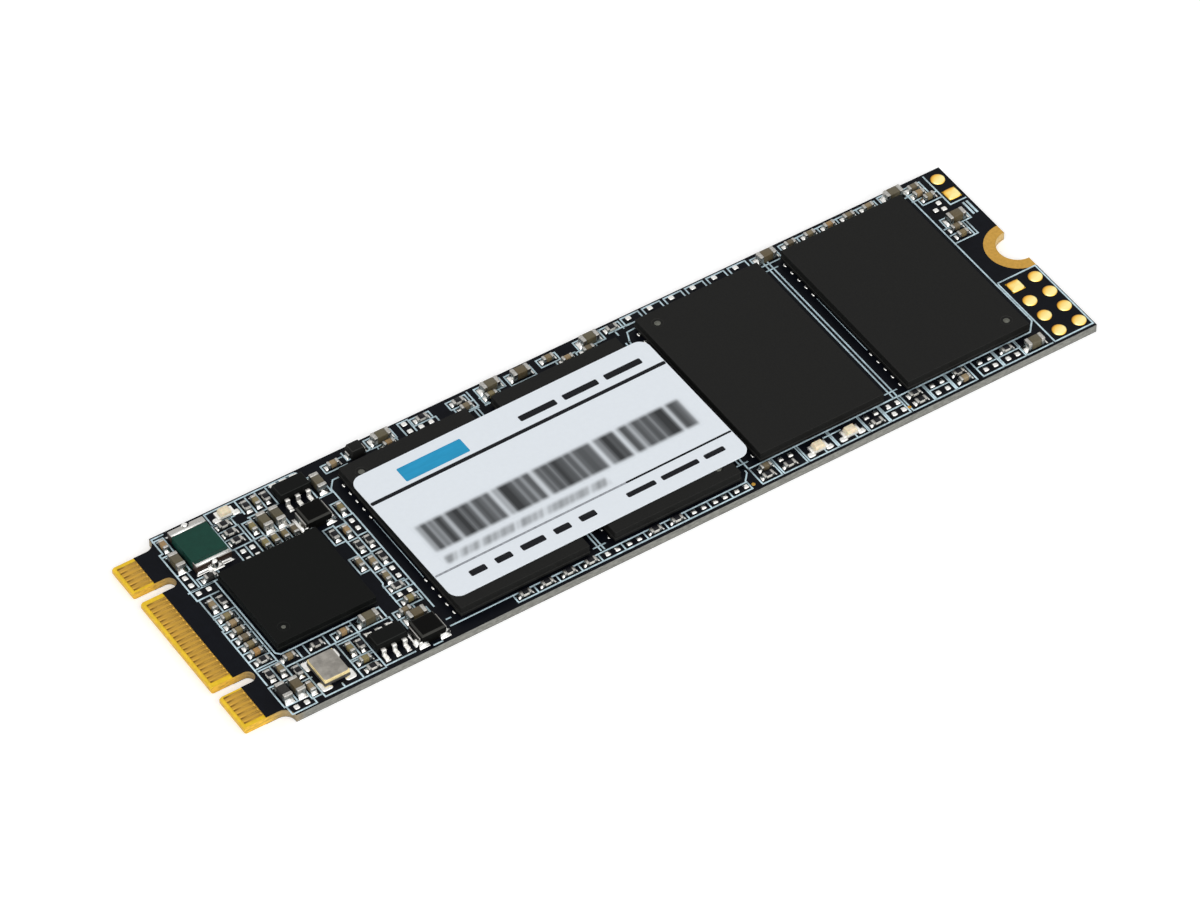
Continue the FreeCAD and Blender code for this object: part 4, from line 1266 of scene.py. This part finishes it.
class DRIVE_OT_legend(DriveOperator, bpy.types.Operator):
    """Print the pale legend on the board: frames round the parts, long rules and rows of dots"""

    bl_idname = "drive.legend"
    bl_label = "Legend"

    # Step that walls are rounded to
    GRID = 0.05
    # How much further apart two parts may be and still share a wall
    SHARED = 0.3
    # Distance between the two lands of a missing part, and how straight they lie
    PAIR = 0.92
    ALIGNED = 0.02
    # A wall this close to a rule isn't drawn
    MERGED = 0.26
    # Outermost line along the board
    BOARD_SIDE = 10.8
    # Lines that cross lie at slightly different heights
    TICK_RISE = 1.1
    UPRIGHT_RISE = 0.92
    LEVEL_RISE = 0.96
    TICK_REACH = 0.45
    FINE_SHARE = 0.4
    # Larger parts that frames keep clear of
    PLINTHS = (
        "controller_chip", "flash_chip_1", "flash_chip_2", "flash_chip_3", "flash_chip_4", "fuse_body",
        "crystal_base", "upper_regulator_leads", "lower_regulator_leads", "upper_inductor_body",
        "lower_inductor_body", "diode_body",
    )
    # Rules given one by one along the board, as runs of corners
    RULES = (
        ((5.2, 10.8), (4.08, 10.8), (4.08, 9.0), (3.75, 9.0), (3.75, 3.25), (5.75, 3.25)),
        ((3.88, 3.15), (3.88, -0.55), (3.72, -0.55), (3.72, -7.25)),
        ((5.97, 4.4), (5.97, -4.7), (6.27, -5.03), (15.15, -5.03), (15.15, -6.38)),
        ((5.95, -6.38), (15.3, -6.38), (15.3, -6.85)),
        ((6.85, -6.5), (6.85, -10.65), (12.38, -10.65)),
        ((10.35, -6.45), (10.35, -10.6)),
        ((12.38, -6.45), (12.38, -10.52), (15.15, -10.52)),
        ((8.65, -10.1), (8.65, -10.6)),
        ((11.65, 9.1), (11.65, 10.8), (17.2, 10.8), (17.4, 10.6)),
        ((14.7, 10.56), (17.15, 10.56)),
        ((16.78, 4.3), (16.78, -3.1), (16.62, -3.35), (16.62, -6.1)),
        ((17.85, 4.52), (18.78, 4.52), (18.78, -7.4)),
        ((18.8, -9.02), (19.3, -9.02)),
        ((18.72, -9.78), (24.42, -9.78)),
        ((16.58, -10.75), (17.45, -10.75)),
        ((18.75, 4.6), (18.75, 7.7), (19.35, 8.45), (20.0, 8.45)),
        ((46.45, -9.7), (47.08, -9.0), (47.08, -8.0)),
        ((47.42, -8.72), (75.0, -8.72), (75.87, -7.75), (75.87, 10.6)),
        ((76.05, -2.75), (79.85, -2.75), (79.85, -10.7), (76.05, -10.7), (76.05, -2.85)),
        ((78.25, 10.8), (78.25, 6.85), (79.85, 6.85)),
        ((75.95, 2.9), (78.2, 2.9), (78.2, 4.7)),
        ((53.68, -10.65), (53.68, -10.1)),
        ((56.65, -10.65), (56.65, -10.1)),
        ((54.25, -9.2), (56.0, -9.2)),
        ((47.08, 9.3), (47.08, 9.95)),
        ((46.5, 9.95), (48.7, 9.95)),
        ((47.42, 8.2), (47.85, 9.25), (48.65, 9.3)),
        ((33.4, 10.8), (33.4, 8.95), (32.5, 8.95)),
        ((21.45, 10.6), (21.45, 9.62), (23.55, 9.62), (23.7, 9.85), (24.25, 9.85)),
        ((33.95, 9.6), (33.95, 8.9), (34.35, 8.85)),
    )
    # Cells of the near strip beside the last two chips, and those that a line halves
    NEAR_CELLS = (
        (47.45, 49.35), (49.55, 51.8), (51.98, 54.82), (54.95, 57.8), (57.92, 59.82), (59.95, 61.8),
        (62.05, 64.2), (64.35, 66.3), (66.45, 68.35), (68.95, 71.0), (71.15, 73.2), (73.3, 75.8),
    )
    NEAR_SIDES = (-10.68, -8.72)
    HALVED = (59.95, 64.35, 68.95, 71.15)
    HALF_LINE = -9.67
    # Cells round the single lands of the far strip, from each land's middle, and round the far diode
    FAR_CELL = (-0.6, 1.12)
    FAR_SIDES = (9.9, BOARD_SIDE)
    LED_CELL = (8.88, 11.6, 9.45, BOARD_SIDE)
    # Small bars beside the jumper: left, right, low and high
    JUMPER_BARS = ((79.15, 79.35, 4.9, 6.5), (79.5, 79.7, 4.9, 6.5))
    # Double rules between the memory chips: left, right, foot, top and the places of cross ticks
    GAP_RULES = (
        (32.85, 33.17, -9.65, 8.7, (-9.1,)), (47.08, 47.42, -8.7, 8.3, (-8.0,)),
        (61.5, 61.87, -8.7, 9.7, (-8.0, 8.75)),
    )
    # Fine lines between the test points: place, foot and top
    FINE_LINES = ((19.77, -4.3, 3.05), (34.12, -4.3, 3.05), (48.47, -3.15, 3.95), (62.83, -3.15, 3.95))

    def execute(self, context):
        ink = bmesh.new()
        line, height = size("ink_line"), size("ink_height")
        for run in self.RULES:
            add_ribbon(ink, run, line, BOARD_TOP, height)
        for left, right, foot, top, ticks in self.GAP_RULES:
            for x in (left, right):
                add_ribbon(ink, [(x, foot), (x, top)], line, BOARD_TOP, height)
            for y in ticks:
                tick = [(left - self.TICK_REACH, y), (right + self.TICK_REACH, y)]
                add_ribbon(ink, tick, line, BOARD_TOP, height * self.TICK_RISE)
        for x, foot, top in self.FINE_LINES:
            add_ribbon(ink, [(x, foot), (x, top)], line * self.FINE_SHARE, BOARD_TOP, height)
        for bar in self.JUMPER_BARS:
            add_block(ink, *bar, BOARD_TOP, height)
        walls = {}
        for frame_box in [*self.frames(), *self.cells()]:
            self.note_walls(walls, *frame_box)
        for (upright, place), spans in sorted(walls.items()):
            for start, end in self.joined(spans):
                if self.ruled(upright, place, start, end):
                    continue
                low, high = start - line / 2, end + line / 2
                sides = (place - line / 2, place + line / 2)
                if upright:
                    add_block(ink, *sides, low, high, BOARD_TOP, height * self.UPRIGHT_RISE)
                else:
                    add_block(ink, low, high, *sides, BOARD_TOP, height * self.LEVEL_RISE)
        piece("board_legend", ink, legend_ink, "label_film")
        return {"FINISHED"}

    def parts(self):
        """Flat boxes of the two-ended parts and of the pairs of vacant lands."""
        found = []
        for kind in ("small_capacitor", "large_capacitor", "ferrite", "resistor"):
            ends = solids_of(f"{kind}_terminals")
            for solid in solids_of(f"{kind}_bodies"):
                near = sorted(ends, key=lambda end: (middle(end) - middle(solid)).length)[:2]
                found.append(self.box([solid, *near]))
        found += [self.box(pair) for pair in self.land_pairs()]
        strip_start, strip_top = self.NEAR_CELLS[0][0], self.NEAR_SIDES[1]
        return [part for part in found if part[0] < strip_start or part[2] > strip_top]

    def land_pairs(self):
        """Vacant lands two by two, as the ends of one missing part."""
        lands = solids_of("vacant_lands")
        while lands:
            first = lands.pop(0)
            for other in lands:
                across, along = (abs(step) for step in (middle(other) - middle(first)).xy)
                is_row = min(across, along) < self.ALIGNED
                if is_row and abs(max(across, along) - self.PAIR) < self.ALIGNED / 2:
                    lands.remove(other)
                    yield first, other
                    break

    def cells(self):
        """Frames that don't follow one part: the near strip, the single lands and the far diode."""
        low, high = self.NEAR_SIDES
        for left, right in self.NEAR_CELLS:
            if left in self.HALVED:
                yield left, right, low, self.HALF_LINE
            yield left, right, low, high
        paired = [land for pair in self.land_pairs() for land in pair]
        for land in solids_of("vacant_lands"):
            x, y = middle(land).xy
            if land not in paired and y > self.FAR_SIDES[0]:
                yield x + self.FAR_CELL[0], x + self.FAR_CELL[1], *self.FAR_SIDES
        yield self.LED_CELL

    def box(self, solids):
        """Left, right, low and high of the box round some solids."""
        return (
            min(solid.low.x for solid in solids), max(solid.high.x for solid in solids),
            min(solid.low.y for solid in solids), max(solid.high.y for solid in solids),
        )

    def frames(self):
        """Frames round the parts, where close neighbours share a wall halfway between them."""
        parts = self.parts()
        others = parts + [self.box(solids_of(node)) for node in self.PLINTHS]
        for x, y in PLATED_HOLES:
            others.append((x - HOLE_HALF.x, x + HOLE_HALF.x, y - HOLE_HALF.y, y + HOLE_HALF.y))
        for part in parts:
            long_way = 0 if part[1] - part[0] > part[3] - part[2] else 2
            sides = []
            for first in (0, 2):
                cross = 2 - first
                room = size("frame_ends") if first == long_way else size("frame_sides")
                start, end = part[cross], part[cross + 1]
                beside = [
                    other for other in others
                    if other is not part and other[cross] < end and other[cross + 1] > start
                ]
                below = [part[first] - other[first + 1] for other in beside]
                above = [other[first] - part[first + 1] for other in beside]
                for gaps in (below, above):
                    close = [gap / 2 for gap in gaps if 0 <= gap < 2 * room + self.SHARED]
                    sides.append(min(close) if close else room)
            left, right, low, high = sides
            yield (
                part[0] - left, part[1] + right,
                max(part[2] - low, -self.BOARD_SIDE), min(part[3] + high, self.BOARD_SIDE),
            )

    def note_walls(self, walls, left, right, low, high):
        """Add a frame's four walls to the walls of the legend, on its drawing grid."""
        sides = (left, right, low, high)
        left, right, low, high = (round(round(side / self.GRID) * self.GRID, 3) for side in sides)
        for x in (left, right):
            walls.setdefault((True, x), []).append((low, high))
        for y in (low, high):
            walls.setdefault((False, y), []).append((left, right))

    def ruled(self, upright, place, start, end):
        """Whether a listed rule already runs along most of a wall."""
        along, across = (1, 0) if upright else (0, 1)
        for run in self.RULES:
            for corner, following in zip(run, run[1:]):
                if corner[across] != following[across] or abs(corner[across] - place) > self.MERGED:
                    continue
                low, high = sorted((corner[along], following[along]))
                if min(high, end) - max(low, start) > (end - start) / 2:
                    return True
        return False

    def joined(self, spans):
        """Spans along one line, with those that overlap or touch made one."""
        whole = []
        for start, end in sorted(spans):
            if whole and start <= whole[-1][1] + self.GRID:
                whole[-1][1] = max(whole[-1][1], end)
            else:
                whole.append([start, end])
        return whole


class DRIVE_OT_stage(DriveOperator, bpy.types.Operator):
    """Set the floor, the soft studio light and the camera"""

    bl_idname = "drive.stage"
    bl_label = "Stage"

    # Camera solved on the card's published outline in the photograph's 1200 by 900 frame
    FRAME_WIDTH = 1200
    FOCAL_PIXELS = 6482.13
    AZIMUTH = math.radians(-33.456)
    ELEVATION = math.radians(46.365)
    ROLL = math.radians(-0.066)
    DISTANCE = 515.564
    SHIFT_RIGHT = -0.746
    SHIFT_UP = -0.508
    TARGET = Vector((40.0, 0.0, 0.4))
    SENSOR = 36
    FLOOR_DROP = 0.02
    FLOOR_GLOW = 0.3
    # The floor's radius and the camera's nearest and furthest sight, in metres
    FLOOR_RADIUS = 6
    CLIP = (0.01, 20)
    # Heights in the sky between which its light falls, and the light below and above them
    SKY_FALL = (0.45, 0.8)
    SKY_LIGHT = (1.0, 0.2)
    # Name, direction from the drive, strength, and width in degrees
    LAMPS = (
        ("key_light", (-0.45, -0.4, 0.8), 0.96, 50),
        ("fill_light", (0.2, -0.8, 0.56), 0.88, 60),
    )

    def execute(self, context):
        scene = context.scene
        scene.view_settings.view_transform = "Standard"
        self.camera(scene)
        self.floor(scene)
        self.world(scene)
        for lamp in self.LAMPS:
            self.lamp(scene, *lamp)
        return {"FINISHED"}

    def camera(self, scene):
        """A long lens where the photograph was taken from."""
        back = Vector((
            math.sin(self.AZIMUTH) * math.cos(self.ELEVATION),
            -math.cos(self.AZIMUTH) * math.cos(self.ELEVATION),
            math.sin(self.ELEVATION),
        ))
        level = Vector((0, 0, 1)).cross(back).normalized()
        rise = back.cross(level)
        right = level * math.cos(self.ROLL) + rise * math.sin(self.ROLL)
        up = rise * math.cos(self.ROLL) - level * math.sin(self.ROLL)
        data = bpy.data.cameras.new("camera")
        data.sensor_fit = "HORIZONTAL"
        data.sensor_width = self.SENSOR
        data.lens = self.FOCAL_PIXELS / self.FRAME_WIDTH * self.SENSOR
        data.clip_start, data.clip_end = self.CLIP
        camera = bpy.data.objects.new("camera", data)
        scene.collection.objects.link(camera)
        place = self.TARGET + back * self.DISTANCE + right * self.SHIFT_RIGHT + up * self.SHIFT_UP
        turn = Matrix((right, up, back)).transposed().to_4x4()
        camera.matrix_world = Matrix.Translation(place * MM) @ turn
        scene.camera = camera

    def seen(self, tree):
        """One for rays that show the background to the eye: straight, in metal or through glass."""
        path = add_node(tree, "ShaderNodeLightPath").outputs
        mirrored = add_node(tree, "ShaderNodeMath", {
            0: path["Is Glossy Ray"], 1: path["Is Transmission Ray"],
        }, operation="MAXIMUM")
        return add_node(tree, "ShaderNodeMath", {
            0: path["Is Camera Ray"], 1: mirrored,
        }, operation="MAXIMUM")

    def floor(self, scene):
        """A wide white floor that keeps the drive's soft shadow."""
        material = bpy.data.materials.new("white_floor")
        material.use_nodes = True
        tree = material.node_tree
        tree.nodes.clear()
        paper = add_node(tree, "ShaderNodeBsdfDiffuse", {"Color": linear("#f2f2f2")})
        glow = add_node(tree, "ShaderNodeEmission", {"Color": WHITE, "Strength": self.FLOOR_GLOW})
        both = add_node(tree, "ShaderNodeAddShader", {0: paper, 1: glow})
        shown = add_node(tree, "ShaderNodeMixShader", {0: self.seen(tree), 1: paper, 2: both})
        add_node(tree, "ShaderNodeOutputMaterial", {"Surface": shown})
        shape = bmesh.new()
        bmesh.ops.create_circle(shape, cap_ends=True, radius=self.FLOOR_RADIUS, segments=64)
        mesh = bpy.data.meshes.new("floor")
        shape.to_mesh(mesh)
        shape.free()
        mesh.materials.append(material)
        item = bpy.data.objects.new("floor", mesh)
        item.location.z = -self.FLOOR_DROP * MM
        scene.collection.objects.link(item)
        item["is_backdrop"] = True

    def world(self, scene):
        """White surroundings that grow darker overhead, and plain white where the camera sees them."""
        world = bpy.data.worlds.new("studio")
        world.use_nodes = True
        tree = world.node_tree
        tree.nodes.clear()
        way = add_node(tree, "ShaderNodeTexCoord").outputs["Generated"]
        height = add_node(tree, "ShaderNodeSeparateXYZ", {"Vector": way}).outputs["Z"]
        low, high = self.SKY_FALL
        below, above = self.SKY_LIGHT
        level = add_node(tree, "ShaderNodeMapRange", {
            "Value": height, "From Min": low, "From Max": high, "To Min": below, "To Max": above,
        })
        strength = add_node(tree, "ShaderNodeMath", {0: level, 1: self.seen(tree)}, operation="MAXIMUM")
        sky = add_node(tree, "ShaderNodeBackground", {"Color": WHITE, "Strength": strength})
        add_node(tree, "ShaderNodeOutputWorld", {"Surface": sky})
        scene.world = world

    def lamp(self, scene, name, way, strength, width):
        """A broad soft lamp far away, seen from the drive in a given direction."""
        data = bpy.data.lights.new(name, "SUN")
        data.energy = strength
        data.angle = math.radians(width)
        item = bpy.data.objects.new(name, data)
        item.matrix_world = Vector(way).to_track_quat("Z", "Y").to_matrix().to_4x4()
        scene.collection.objects.link(item)


STEPS = (
    DRIVE_OT_board, DRIVE_OT_contacts, DRIVE_OT_pads, DRIVE_OT_lands, DRIVE_OT_chips, DRIVE_OT_label,
    DRIVE_OT_capacitors, DRIVE_OT_resistors, DRIVE_OT_fuse, DRIVE_OT_crystal, DRIVE_OT_regulators,
    DRIVE_OT_inductors, DRIVE_OT_leds, DRIVE_OT_solder, DRIVE_OT_legend, DRIVE_OT_stage,
)


class DRIVE_PT_pieces(bpy.types.Panel):
    """The drive's pieces, sizes and colours"""

    bl_idname = "DRIVE_PT_pieces"
    bl_label = "Gumstick drive"
    bl_space_type = "VIEW_3D"
    bl_region_type = "UI"
    bl_category = "Drive"

    def draw(self, context):
        for step in STEPS:
            self.layout.operator(step.bl_idname)
        for group in (context.scene.drive_sizes, context.scene.drive_colours):
            for name in group.__annotations__:
                self.layout.prop(group, name)


CLASSES = (DriveSizes, DriveColours) + STEPS + (DRIVE_PT_pieces,)


def register():
    for item in CLASSES:
        bpy.utils.register_class(item)
    bpy.types.Scene.drive_sizes = PointerProperty(type=DriveSizes)
    bpy.types.Scene.drive_colours = PointerProperty(type=DriveColours)


def unregister():
    del bpy.types.Scene.drive_colours
    del bpy.types.Scene.drive_sizes
    for item in reversed(CLASSES):
        bpy.utils.unregister_class(item)


def main():
    register()
    for step in STEPS:
        group, name = step.bl_idname.split(".")
        getattr(getattr(bpy.ops, group), name)()
    boxes = {"cad": CAD_BOX, "visual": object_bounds()}
    {name: [list(corner) for corner in box] for name, box in boxes.items()}


if __name__ == "__main__":
    main()
